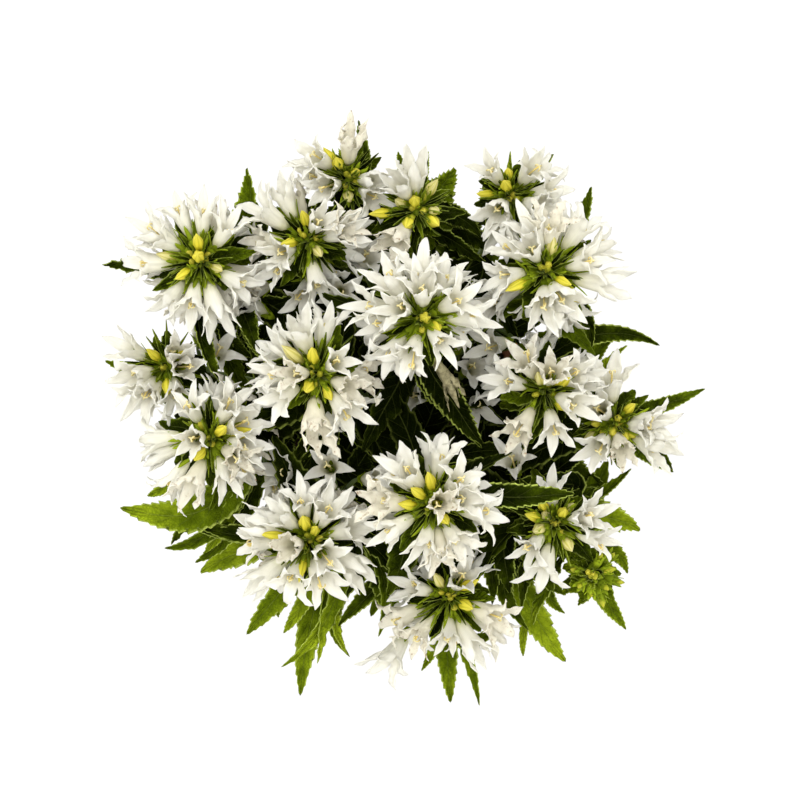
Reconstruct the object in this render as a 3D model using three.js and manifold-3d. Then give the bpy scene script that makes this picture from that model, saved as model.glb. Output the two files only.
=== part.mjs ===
// Clustered bellflower with white flowers, in a plain clay pot.
// Units are millimetres, +Z is up, and the pot stands on z = 0 with its axis on the origin.
// Every solid keeps a small gap to its neighbours, so that each one is a piece of its own.
import * as THREE from 'three';
import { mergeVertices } from 'three/addons/utils/BufferGeometryUtils.js';
import Module from 'manifold-3d';

const wasm = await Module();
wasm.setup();

const GAP = 0.3;

// Pot
const POT_HEIGHT = 120;
const POT_FOOT_RADIUS = 49;
const POT_RIM_RADIUS = 67;
const POT_RIM_HEIGHT = 28;
const POT_RIM_STEP = 3;
const POT_RIM_TAPER = 1.5;
const POT_EDGE = 1.5;
const POT_WALL = 6.5;
const POT_FLOOR = 8;
const DRAIN_RADIUS = 9;
const POT_SIDES = 32;
const INNER_RIM_RADIUS = POT_RIM_RADIUS - POT_WALL;
const INNER_FOOT_RADIUS = POT_FOOT_RADIUS - POT_WALL;

// Soil
const SOIL_TOP = 106;

// Stems: the crown is a small copy of the pattern of heads
const STEM_RADIUS = 2.3;
const STEM_SIDES = 6;
const STEM_STEPS = 8;
const CROWN_SPREAD = 0.32;
const STEM_UPRIGHT = 0.35;
const STEM_LEAN = 0.95;
const STEM_NECK = 42;
const STEM_UNDER_HEAD = 8.8;

// Knot of bracts and calyces in the middle of a head
const KNOT_RADIUS = 11;
const KNOT_HALF_HEIGHT = 8;
const KNOT_BASE_RADIUS = 5.5;
const KNOT_SHOULDER_RADIUS = 6.6;
const KNOT_SHOULDER_AT = 6.4;
const KNOT_SIDES = 6;
const FLOWER_FOOT_DEPTH = 0.6;

// Bells: distances along the flower from its foot, and radii
const LOBES = 5;
const BELL_THROAT_AT = 13;
const BELL_WAIST_AT = 14;
const BELL_WAIST_RADIUS = 4.8;
const BELL_NOTCH_AT = 19;
const BELL_NOTCH_RADIUS = 6;
const BELL_TIP_AT = 29;
const BELL_TIP_RADIUS = 8.5;

// Buds
const BUD_LENGTH = 20;
const BUD_RADIUS = 2.8;
const BUD_WIDEST_AT = 11;

// Leaves
const LEAF_STATIONS = 10;
const LEAF_THICKNESS = 1.3;
const LEAF_STALK_HALF_WIDTH = 1;
const LEAF_TOOTH = 0.08;
const LEAF_FOLD = 0.22;
const LEAF_SEAT = 0.65;
const LEAF_ARCH_AT = 0.45;
const LEAF_TAPER = 0.75;

// Heads: position of the knot, then the direction of each open bell and bud as
// [turn about +Z from +X, rise above the horizontal], in degrees.
const HEADS = [
  {
    name: '07', at: [8, 41, 262],
    bells: [[150, 68], [90, 55], [125, 42], [85, 36], [30, 48], [355, 35], [310, 58], [252, 48],
      [228, 33], [200, 38], [168, 32], [52, 30]],
    buds: [[0, 85], [330, 62]],
  },
  {
    name: '12', at: [13, -39, 262],
    bells: [[20, 80], [118, 45], [80, 36], [45, 48], [345, 42], [312, 40], [285, 45], [255, 46],
      [212, 35], [182, 32], [150, 30], [15, 32]],
    buds: [[140, 66], [95, 58], [180, 52], [310, 66]],
  },
  {
    name: '08', at: [-37, 17, 258],
    bells: [[180, 68], [35, 66], [345, 52], [110, 42], [137, 32], [80, 30], [170, 34], [215, 46],
      [268, 40], [318, 40]],
    buds: [[140, 50], [100, 66], [300, 55], [240, 68]],
  },
  {
    name: '06', at: [63, 62, 244],
    bells: [[65, 72], [130, 60], [60, 40], [32, 34], [5, 45], [335, 36], [270, 42], [300, 42],
      [182, 38], [145, 36], [112, 38]],
    buds: [[205, 42], [320, 66], [315, 42], [80, 52]],
  },
  {
    name: '11', at: [-41, -56, 240],
    bells: [[195, 72], [320, 64], [128, 42], [98, 34], [68, 48], [18, 45], [330, 38], [285, 42],
      [250, 42], [212, 40], [182, 30], [155, 36]],
    buds: [[168, 42], [255, 52], [60, 70], [100, 62]],
  },
  {
    name: '01', at: [-89, 67, 238],
    bells: [[85, 50], [115, 42], [158, 66], [150, 42], [188, 42], [225, 38], [258, 42], [288, 35],
      [320, 40], [38, 60]],
    buds: [[80, 86], [90, 68], [172, 34], [225, 60], [335, 58]],
  },
  {
    name: '10', at: [-85, -11, 236],
    bells: [[210, 75], [325, 55], [58, 40], [115, 42], [162, 42], [200, 34], [225, 40], [258, 40],
      [285, 36], [355, 44], [28, 38]],
    buds: [[30, 70], [10, 42], [180, 60], [240, 66]],
  },
  {
    name: '13', at: [63, 10, 234],
    bells: [[335, 68], [75, 68], [168, 45], [232, 42], [270, 45], [5, 50], [34, 50], [128, 48]],
    buds: [[120, 72], [30, 66], [318, 60]],
  },
  {
    name: '02', at: [-42, 77, 228],
    bells: [[115, 50], [75, 70], [25, 45], [5, 60], [210, 50], [182, 40], [238, 44], [280, 38],
      [150, 36]],
    buds: [[95, 62], [195, 66], [310, 66]],
  },
  {
    name: '15', at: [68, -49, 226],
    bells: [[90, 48], [355, 50], [25, 45], [248, 54], [275, 40], [215, 48], [162, 52], [125, 52],
      [318, 44], [60, 68]],
    buds: [[140, 66], [195, 60], [50, 50], [300, 50]],
  },
  {
    name: '04', at: [6, 91, 222],
    bells: [[114, 56], [78, 54], [45, 60], [325, 56], [250, 50]],
    buds: [[190, 34], [40, 60], [0, 62], [100, 80]],
  },
  {
    name: '14', at: [95, -4, 218],
    bells: [[65, 42], [12, 42], [335, 38], [272, 50], [228, 64], [148, 76], [302, 50], [98, 50]],
    buds: [[320, 58], [45, 60], [210, 46]],
  },
  {
    name: '16', at: [21, -83, 216],
    bells: [[165, 40], [265, 46], [8, 38], [310, 38], [210, 36], [238, 28], [285, 28], [70, 60]],
    buds: [[120, 60], [40, 58], [340, 66]],
  },
  {
    name: '05', at: [49, 98, 214],
    bells: [[130, 42], [52, 50], [10, 36], [225, 70], [262, 50], [168, 50], [325, 60]],
    buds: [[180, 36], [130, 76], [350, 46], [100, 55]],
  },
  {
    name: '03', at: [-25, 105, 212],
    bells: [[90, 52], [145, 45], [190, 50], [65, 56]],
    buds: [[172, 26], [130, 48], [110, 60], [290, 60]],
  },
  {
    name: '17', at: [86, -73, 212],
    bells: [],
    buds: [[0, 88], [20, 55], [70, 50], [165, 48], [215, 55], [262, 50], [315, 56],
      [345, 30], [290, 28], [45, 26]],
  },
  {
    name: '09', at: [-107, 21, 208],
    bells: [[145, 46], [192, 55], [355, 62], [250, 50], [95, 54], [300, 54], [222, 44]],
    buds: [[130, 70], [30, 60], [280, 60]],
  },
];

// Leaves: the stem that carries each one, how far up that stem it starts (0 to 1),
// its tip, its half width, and how far its middle is pulled up from the straight line.
const LEAVES = [
  { name: '01', stem: '01', from: 0.74, tip: [-138, 68, 196], half: 9, arch: 10 },
  { name: '02', stem: '01', from: 0.86, tip: [-69, 109, 232], half: 9, arch: 4 },
  { name: '03', stem: '09', from: 0.72, tip: [-136, 24, 186], half: 8, arch: 9 },
  { name: '04', stem: '10', from: 0.62, tip: [-132, -46, 170], half: 14, arch: 12 },
  { name: '05', stem: '10', from: 0.50, tip: [-109, -63, 158], half: 11, arch: 12 },
  { name: '06', stem: '11', from: 0.50, tip: [-96, -80, 148], half: 11, arch: 12 },
  { name: '07', stem: '11', from: 0.66, tip: [-73, -104, 176], half: 10, arch: 8 },
  { name: '08', stem: '11', from: 0.56, tip: [-48, -136, 150], half: 11, arch: 12 },
  { name: '09', stem: '16', from: 0.62, tip: [-24, -116, 162], half: 10, arch: 9 },
  { name: '10', stem: '16', from: 0.48, tip: [20, -136, 152], half: 12, arch: 12 },
  { name: '11', stem: '16', from: 0.70, tip: [37, -136, 178], half: 8, arch: 8 },
  { name: '12', stem: '17', from: 0.50, tip: [74, -121, 156], half: 13, arch: 12 },
  { name: '13', stem: '17', from: 0.74, tip: [104, -101, 184], half: 10, arch: 8 },
  { name: '14', stem: '15', from: 0.72, tip: [111, -54, 180], half: 13, arch: 8 },
  { name: '15', stem: '14', from: 0.80, tip: [139, 11, 190], half: 8, arch: 9 },
  { name: '16', stem: '14', from: 0.66, tip: [126, -27, 172], half: 9, arch: 10 },
  { name: '17', stem: '13', from: 0.72, tip: [118, 34, 190], half: 9, arch: 10 },
  { name: '18', stem: '06', from: 0.76, tip: [88, 103, 206], half: 9, arch: 6 },
  { name: '19', stem: '05', from: 0.78, tip: [70, 118, 204], half: 8, arch: 6 },
  { name: '20', stem: '04', from: 0.78, tip: [24, 111, 208], half: 11, arch: 6 },
  { name: '21', stem: '03', from: 0.78, tip: [-20, 133, 208], half: 8, arch: 6 },
  { name: '22', stem: '02', from: 0.72, tip: [-70, 50, 204], half: 11, arch: 8 },
  { name: '23', stem: '07', from: 0.72, tip: [36, -14, 224], half: 11, arch: 6 },
  { name: '24', stem: '15', from: 0.78, tip: [37, -36, 208], half: 9, arch: 6 },
];

const CLAY = { color: 0xb0653f, roughness: 0.9 };
const EARTH = { color: 0x2e2119, roughness: 1.0 };
const STEM_GREEN = { color: 0x5c7a2e, roughness: 0.7 };
const LEAF_GREEN = { color: 0x4a6b1e, roughness: 0.6 };
const PETAL_WHITE = { color: 0xf2efe4, roughness: 0.65 };
const BUD_GREEN = { color: 0x9aa83a, roughness: 0.65 };

function toSolid(geometry) {
  const bare = geometry.clone();
  bare.deleteAttribute('normal');
  bare.deleteAttribute('uv');
  const merged = mergeVertices(bare, 1e-4);
  return new wasm.Manifold(new wasm.Mesh({
    numProp: 3,
    vertProperties: new Float32Array(merged.getAttribute('position').array),
    triVerts: new Uint32Array(merged.index.array),
  }));
}

function toGeometry(solid) {
  const mesh = solid.getMesh();
  const geometry = new THREE.BufferGeometry();
  geometry.setAttribute('position', new THREE.BufferAttribute(mesh.vertProperties, 3));
  geometry.setIndex(new THREE.BufferAttribute(mesh.triVerts, 1));
  geometry.computeVertexNormals();
  return geometry;
}

function fromFaces(points, faces) {
  const geometry = new THREE.BufferGeometry();
  geometry.setAttribute('position', new THREE.Float32BufferAttribute(points.flatMap((p) => p.toArray()), 3));
  geometry.setIndex(faces.flat());
  return geometry;
}

function lathe(profile, sides) {
  const geometry = new THREE.LatheGeometry(profile.map(([r, z]) => new THREE.Vector2(r, z)), sides);
  geometry.rotateX(Math.PI / 2);
  return geometry;
}

// A stem rises from the crown of the plant and leans out to stand under its head.
function stemCurve([x, y, z]) {
  const start = new THREE.Vector3(x * CROWN_SPREAD, y * CROWN_SPREAD, SOIL_TOP + GAP);
  const low = new THREE.Vector3(start.x, start.y, SOIL_TOP + STEM_UPRIGHT * (z - SOIL_TOP));
  const high = new THREE.Vector3(x * STEM_LEAN, y * STEM_LEAN, z - STEM_NECK);
  const end = new THREE.Vector3(x, y, z - STEM_UNDER_HEAD);
  return new THREE.CubicBezierCurve3(start, low, high, end);
}

function stem(curve) {
  const corners = [];
  for (let k = 0; k < STEM_SIDES; k += 1) {
    const angle = (k / STEM_SIDES) * Math.PI * 2;
    corners.push(new THREE.Vector2(STEM_RADIUS * Math.cos(angle), STEM_RADIUS * Math.sin(angle)));
  }
  const options = { steps: STEM_STEPS, bevelEnabled: false, extrudePath: curve };
  return new THREE.ExtrudeGeometry(new THREE.Shape(corners), options);
}

// A leaf: a thin blade folded up along its midrib, with toothed edges and a narrow stalk.
function leaf(curve, { from, tip, half, arch }) {
  const root = curve.getPoint(from);
  const stemLine = curve.getTangent(from);
  const end = new THREE.Vector3(...tip);
  const out = end.clone().sub(root).setZ(0);
  out.addScaledVector(stemLine, -out.dot(stemLine)).normalize();
  const start = root.clone().addScaledVector(out, STEM_RADIUS + LEAF_SEAT);
  const middle = start.clone().lerp(end, LEAF_ARCH_AT);
  middle.z += arch;
  const spine = new THREE.QuadraticBezierCurve3(start, middle, end);
  const points = [];
  for (let i = 0; i < LEAF_STATIONS - 1; i += 1) {
    const s = i / (LEAF_STATIONS - 1);
    const centre = spine.getPoint(s);
    const along = spine.getTangent(s);
    const side = new THREE.Vector3(0, 0, 1).cross(along).normalize();
    const up = along.clone().cross(side).normalize();
    const tooth = i % 2 ? 1 + LEAF_TOOTH : 1 - LEAF_TOOTH;
    const width = Math.max(LEAF_STALK_HALF_WIDTH, Math.sin(Math.PI * s ** LEAF_TAPER) * half * tooth);
    const fold = width * LEAF_FOLD;
    const rib = i === 0 ? LEAF_STALK_HALF_WIDTH / 2 : LEAF_THICKNESS / 2;
    points.push(centre.clone().addScaledVector(side, width).addScaledVector(up, fold));
    points.push(centre.clone().addScaledVector(up, rib));
    points.push(centre.clone().addScaledVector(side, -width).addScaledVector(up, fold));
    points.push(centre.clone().addScaledVector(up, -rib));
  }
  points.push(end);
  const faces = [[0, 2, 1], [0, 3, 2]];
  const last = (LEAF_STATIONS - 2) * 4;
  for (let i = 0; i < last; i += 4) {
    for (let k = 0; k < 4; k += 1) {
      const a = i + k;
      const b = i + ((k + 1) % 4);
      faces.push([a, b, b + 4], [a, b + 4, a + 4]);
    }
  }
  for (let k = 0; k < 4; k += 1) {
    faces.push([last + k, last + ((k + 1) % 4), last + 4]);
  }
  return fromFaces(points, faces);
}

// Five points round the axis of a flower; half a step of shift puts them between the lobes.
function ring(radius, z, shift = 0) {
  const points = [];
  for (let k = 0; k < LOBES; k += 1) {
    const angle = ((k + shift) / LOBES) * Math.PI * 2;
    points.push(new THREE.Vector3(radius * Math.cos(angle), radius * Math.sin(angle), z));
  }
  return points;
}

// An open bell: it widens from a point to its waist, and five lobes stand round a hollow throat.
function bell() {
  const waist = ring(BELL_WAIST_RADIUS, BELL_WAIST_AT);
  const tips = ring(BELL_TIP_RADIUS, BELL_TIP_AT);
  const notches = ring(BELL_NOTCH_RADIUS, BELL_NOTCH_AT, 0.5);
  const foot = new THREE.Vector3(0, 0, 0);
  const throat = new THREE.Vector3(0, 0, BELL_THROAT_AT);
  const tip = LOBES;
  const notch = 2 * LOBES;
  const footAt = 3 * LOBES;
  const throatAt = footAt + 1;
  const faces = [];
  for (let k = 0; k < LOBES; k += 1) {
    const next = (k + 1) % LOBES;
    const before = (k + LOBES - 1) % LOBES;
    faces.push([footAt, next, k]);
    faces.push([k, next, notch + k]);
    faces.push([k, notch + k, tip + k]);
    faces.push([k, tip + k, notch + before]);
    faces.push([throatAt, tip + k, notch + k]);
    faces.push([throatAt, notch + before, tip + k]);
  }
  return fromFaces([...waist, ...tips, ...notches, foot, throat], faces);
}

// A closed bud: a five-sided spindle.
function bud() {
  const middle = ring(BUD_RADIUS, BUD_WIDEST_AT);
  const foot = new THREE.Vector3(0, 0, 0);
  const tip = new THREE.Vector3(0, 0, BUD_LENGTH);
  const faces = [];
  for (let k = 0; k < LOBES; k += 1) {
    const next = (k + 1) % LOBES;
    faces.push([LOBES, next, k], [LOBES + 1, k, next]);
  }
  return fromFaces([...middle, foot, tip], faces);
}

// The knot of bracts: a squashed ball with a flat underside that the stem ends below.
function knot() {
  return lathe([
    [0, -KNOT_HALF_HEIGHT],
    [KNOT_BASE_RADIUS, -KNOT_HALF_HEIGHT],
    [KNOT_RADIUS, 0],
    [KNOT_SHOULDER_RADIUS, KNOT_SHOULDER_AT],
    [0, KNOT_HALF_HEIGHT],
  ], KNOT_SIDES);
}

// Turns a flower built along +Z to point along [turn, rise], with its foot just inside the knot.
function aim(geometry, [turn, rise]) {
  const t = THREE.MathUtils.degToRad(turn);
  const r = THREE.MathUtils.degToRad(rise);
  const along = new THREE.Vector3(Math.cos(r) * Math.cos(t), Math.cos(r) * Math.sin(t), Math.sin(r));
  const knotSize = new THREE.Vector3(KNOT_RADIUS, KNOT_RADIUS, KNOT_HALF_HEIGHT);
  const foot = along.clone().multiply(knotSize).multiplyScalar(FLOWER_FOOT_DEPTH);
  const turned = new THREE.Quaternion().setFromUnitVectors(new THREE.Vector3(0, 0, 1), along);
  const matrix = new THREE.Matrix4().compose(foot, turned, new THREE.Vector3(1, 1, 1));
  return geometry.clone().applyMatrix4(matrix);
}

function head({ bells, buds }) {
  const openBell = bell();
  const closedBud = bud();
  const flowers = [
    ...bells.map((way) => aim(openBell, way)),
    ...buds.map((way) => aim(closedBud, way)),
  ];
  const cluster = flowers.reduce((solid, flower) => solid.add(toSolid(flower)), toSolid(knot()));
  return toGeometry(cluster);
}

function pot() {
  const stepAt = POT_HEIGHT - POT_RIM_HEIGHT;
  return lathe([
    [DRAIN_RADIUS, 0],
    [POT_FOOT_RADIUS - POT_EDGE, 0],
    [POT_FOOT_RADIUS, POT_EDGE],
    [POT_RIM_RADIUS - POT_RIM_TAPER - POT_RIM_STEP, stepAt - POT_EDGE],
    [POT_RIM_RADIUS - POT_RIM_TAPER, stepAt],
    [POT_RIM_RADIUS, POT_HEIGHT - POT_EDGE],
    [POT_RIM_RADIUS - POT_EDGE, POT_HEIGHT],
    [INNER_RIM_RADIUS, POT_HEIGHT],
    [INNER_FOOT_RADIUS, POT_FLOOR],
    [DRAIN_RADIUS, POT_FLOOR],
    [DRAIN_RADIUS, 0],
  ], POT_SIDES);
}

// The soil fills the pot, a gap clear of its wall and floor, up to a flat top.
function soil() {
  const slope = (INNER_RIM_RADIUS - INNER_FOOT_RADIUS) / (POT_HEIGHT - POT_FLOOR);
  const radiusAt = (z) => INNER_FOOT_RADIUS + slope * (z - POT_FLOOR) - GAP;
  const bottom = POT_FLOOR + GAP;
  return lathe([
    [0, bottom],
    [radiusAt(bottom), bottom],
    [radiusAt(SOIL_TOP), SOIL_TOP],
    [0, SOIL_TOP],
  ], POT_SIDES);
}

function piece(name, geometry, look) {
  const mesh = new THREE.Mesh(geometry, new THREE.MeshStandardMaterial({ ...look, metalness: 0 }));
  mesh.name = name;
  return mesh;
}

const plant = new THREE.Group();
plant.add(piece('pot', pot(), CLAY));
plant.add(piece('soil', soil(), EARTH));

for (const plan of HEADS) {
  const curve = stemCurve(plan.at);
  const shoot = new THREE.Group();
  shoot.add(piece(`stem_${plan.name}`, stem(curve), STEM_GREEN));
  const cluster = plan.bells.length > 0
    ? piece(`flower_head_${plan.name}`, head(plan), PETAL_WHITE)
    : piece(`bud_head_${plan.name}`, head(plan), BUD_GREEN);
  cluster.position.set(...plan.at);
  shoot.add(cluster);
  for (const leafPlan of LEAVES.filter((one) => one.stem === plan.name)) {
    shoot.add(piece(`leaf_${leafPlan.name}`, leaf(curve, leafPlan), LEAF_GREEN));
  }
  plant.add(shoot);
}

export default plant;
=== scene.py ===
import math

import bpy
import numpy as np
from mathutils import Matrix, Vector


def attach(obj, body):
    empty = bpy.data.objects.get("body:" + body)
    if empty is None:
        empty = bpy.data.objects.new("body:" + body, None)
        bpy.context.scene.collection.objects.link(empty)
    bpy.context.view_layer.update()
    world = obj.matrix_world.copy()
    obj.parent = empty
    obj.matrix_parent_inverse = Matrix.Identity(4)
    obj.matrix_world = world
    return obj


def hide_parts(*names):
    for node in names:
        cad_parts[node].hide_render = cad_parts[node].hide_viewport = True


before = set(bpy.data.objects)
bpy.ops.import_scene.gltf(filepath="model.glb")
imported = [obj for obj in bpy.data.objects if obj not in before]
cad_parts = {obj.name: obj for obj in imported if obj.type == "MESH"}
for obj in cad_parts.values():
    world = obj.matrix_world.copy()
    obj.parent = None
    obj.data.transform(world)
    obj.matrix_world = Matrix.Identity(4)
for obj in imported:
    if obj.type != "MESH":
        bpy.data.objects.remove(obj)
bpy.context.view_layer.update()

MM = 0.001
UP = np.array([0, 0, 1.0])
rng = np.random.default_rng(41)

# The plan of the plant, close to the solid model

SOIL_TOP = 106.0
STEM_RADIUS = 2.3
# Half sizes of the knot that the flowers and buds of a head stand on.
KNOT = np.array([11.0, 11.0, 8.0])

# Heads, from high to low: the middle of the knot, then [turn, rise] of each flower and each bud. lower is
# the most flowers that chance adds below, closed the flowers, counted from 0, that stay shut, and bud_size
# and bract_size make a head's buds and bracts smaller. Head 15 has four yellow buds where the solid model
# has narrow bells.
HEADS = {
    "07": {
        "at": [8, 41, 262], "lower": 10, "bud_size": 0.62,
        "bells": [[150, 68], [90, 55], [125, 42], [85, 36], [30, 48], [355, 35], [310, 58], [252, 48],
                  [228, 33], [200, 38], [168, 32], [52, 30]],
        "buds": [[0, 85], [330, 62]],
    },
    "12": {
        "at": [13, -39, 262], "lower": 10,
        "bells": [[20, 80], [118, 45], [80, 36], [45, 48], [347, 34], [312, 40], [285, 45], [255, 46],
                  [212, 35], [182, 32], [150, 30], [16, 58]],
        "buds": [[140, 66], [95, 58], [180, 52], [310, 66]],
    },
    "08": {
        "at": [-37, 17, 258], "lower": 10,
        "bells": [[180, 68], [35, 66], [345, 52], [110, 42], [137, 32], [80, 30], [170, 34], [215, 46],
                  [268, 40], [318, 40]],
        "buds": [[140, 50], [100, 66], [300, 55], [240, 68]],
    },
    "06": {
        "at": [63, 62, 244], "lower": 10,
        "bells": [[74, 46], [130, 60], [50, 18], [28, 0], [10, 40], [340, 26], [268, 50], [300, 52],
                  [182, 38], [145, 36], [112, 38]],
        "buds": [[205, 42], [320, 66], [315, 42], [80, 52]],
    },
    "11": {
        "at": [-41, -56, 240], "lower": 10, "closed": [9],
        "bells": [[195, 72], [320, 64], [128, 42], [98, 34], [68, 48], [18, 45], [330, 38], [285, 42],
                  [250, 42], [216, 12], [184, 30], [158, 34]],
        "buds": [[168, 42], [255, 52], [60, 70], [100, 62]],
    },
    "01": {
        "at": [-89, 67, 238], "lower": 10,
        "bells": [[82, 32], [112, 16], [150, 46], [147, 28], [184, 18], [228, 20], [256, 32], [288, 35],
                  [320, 40], [48, 40]],
        "buds": [[80, 86], [90, 68], [172, 34], [225, 60], [335, 58]],
    },
    "10": {
        "at": [-85, -11, 236], "lower": 10, "closed": [5],
        "bells": [[210, 75], [325, 55], [58, 40], [115, 42], [180, 4], [195, -6], [214, 8], [258, 40],
                  [285, 36], [355, 44], [28, 38]],
        "buds": [[30, 70], [10, 42], [180, 60], [240, 66]],
    },
    "13": {
        "at": [63, 10, 234], "lower": 4,
        "bells": [[335, 68], [75, 68], [168, 45], [232, 42], [270, 45], [5, 50], [34, 50], [128, 48]],
        "buds": [[120, 72], [30, 66], [318, 60]],
    },
    "02": {
        "at": [-42, 77, 228], "lower": 5,
        "bells": [[128, 30], [75, 70], [28, 58], [5, 60], [210, 50], [182, 40], [238, 44], [280, 38],
                  [150, 36]],
        "buds": [[95, 62], [195, 66], [310, 66]],
    },
    "15": {
        "at": [68, -49, 226], "bud_size": 0.68,
        "bells": [[90, 48], [5, 62], [10, 50], [226, 52], [243, 38], [340, 34]],
        "buds": [[162, 52], [125, 52], [215, 48], [140, 66], [195, 60], [60, 68], [50, 50], [300, 50]],
    },
    "04": {
        "at": [6, 91, 222], "closed": [0, 1], "bud_size": 0.72, "bract_size": 0.9,
        "bells": [[118, 62], [88, 56], [250, 50]],
        "buds": [[188, 32], [52, 50], [352, 58], [322, 54], [242, 62], [160, 62], [100, 80]],
    },
    "14": {
        "at": [95, -4, 218], "bud_size": 0.6, "bract_size": 0.85,
        "bells": [[8, 52], [325, 36], [274, 62], [236, 54], [150, 72], [355, 58], [98, 40]],
        "buds": [[210, 38], [45, 60], [300, 62], [185, 52], [165, 40], [225, 60], [320, 50], [250, 72],
                 [60, 82]],
    },
    "16": {
        "at": [21, -83, 216], "lower": 5,
        "bells": [[165, 40], [265, 46], [342, 34], [318, 10], [203, 10], [232, 26], [285, 28], [70, 60]],
        "buds": [[120, 60], [40, 58], [340, 66]],
    },
    "05": {
        "at": [49, 98, 214], "lower": 1, "bud_size": 0.75, "bract_size": 0.75,
        "bells": [[128, 56], [52, 62], [8, 44], [225, 70], [262, 50], [325, 60]],
        "buds": [[182, 50], [130, 76], [350, 46], [100, 55]],
    },
    "03": {
        "at": [-25, 105, 212], "closed": [0, 5], "bud_size": 0.75, "bract_size": 0.75,
        "bells": [[86, 60], [150, 55], [176, 50], [212, 68], [338, 52], [352, 62]],
        "buds": [[172, 26], [128, 44], [122, 62], [275, 60], [30, 72]],
    },
    "17": {
        "at": [86, -73, 212], "bract_size": 0.88,
        "bells": [],
        "buds": [[0, 88], [20, 55], [70, 50], [165, 48], [215, 55], [262, 50], [315, 56], [345, 30],
                 [290, 28], [45, 26]],
    },
    "09": {
        "at": [-107, 21, 208], "bract_size": 0.7,
        "bells": [[166, 44], [192, 62], [355, 62], [250, 58], [45, 76], [300, 54], [222, 56]],
        "buds": [[130, 70], [30, 60], [280, 60]],
    },
}
for plan in HEADS.values():
    plan["at"] = np.array(plan["at"], float)

# Leaves of the solid model: number, stem, how far up it, where the blade comes into sight, tip, half width,
# arch, shade, roll. Shade runs from 0, dark olive, to 1, bright yellow-green: partly the leaf's own colour,
# partly painted light and shade, dark deep in the plant and bright where a leaf is lit. Roll turns the blade
# on edge, in degrees.
LEAVES = [
    ("01", "01", 0.74, [-122, 69], [-138, 68, 196], 6, 10, 0.35, 40),
    ("02", "01", 0.86, [-68, 91], [-69, 109, 232], 6, 4, 0.6, 50),
    ("03", "09", 0.72, [-124, 20], [-138, 24, 186], 5, 9, 0.65, 20),
    ("04", "10", 0.62, [-93, -44], [-133, -45, 170], 9.0, 12, 0.75, 0),
    ("05", "10", 0.50, [-102, -52], [-110, -63, 158], 5, 12, 0.4, 25),
    ("06", "11", 0.50, [-77, -66], [-97, -77, 148], 9.0, 12, 0.8, -10),
    ("07", "11", 0.66, [-59, -86], [-73, -104, 176], 7, 8, 0.65, 15),
    ("08", "11", 0.56, [-44, -106], [-49, -136, 150], 6.6, 12, 0.75, -10),
    ("09", "16", 0.62, [-33, -97], [-25, -116, 162], 4.5, 9, 0.7, 0),
    ("10", "16", 0.48, [22, -117], [23, -139, 152], 5.8, 12, 0.65, 10),
    ("11", "16", 0.70, [31, -112], [36, -137, 178], 3.4, 8, 0.6, -20),
    ("12", "17", 0.50, [63, -98], [78, -119, 156], 8.0, 12, 0.85, 0),
    ("13", "17", 0.74, [89, -80], [104, -101, 184], 4.6, 8, 0.7, 15),
    ("14", "15", 0.72, [91, -46], [111, -55, 180], 8, 8, 0.85, -15),
    ("15", "14", 0.80, [114, 2], [140, 11, 190], 3.8, 9, 0.5, 10),
    ("16", "14", 0.66, [116, -16], [127, -28, 172], 5, 10, 0.35, 40),
    ("17", "13", 0.72, [93, 37], [119, 31, 190], 4.6, 9, 0.35, 10),
    ("18", "06", 0.76, [82, 89], [86, 103, 206], 5, 6, 0.5, 30),
    ("19", "05", 0.78, [61, 105], [69, 118, 204], 4.5, 6, 0.55, 45),
    ("20", "04", 0.78, [14, 95], [24, 111, 208], 7.5, 6, 0.7, 0),
    ("21", "03", 0.78, [-18, 112], [-20, 133, 208], 4.5, 6, 0.45, 50),
    ("22", "02", 0.72, [-37, 54], [-70, 54, 204], 7, 8, 0.25, 10),
    ("23", "07", 0.72, [17, 12], [36, -14, 224], 6.5, 6, 0.12, 10),
    ("24", "15", 0.78, [78, -34], [37, -36, 208], 6, 6, 0.2, -10),
]

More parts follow.
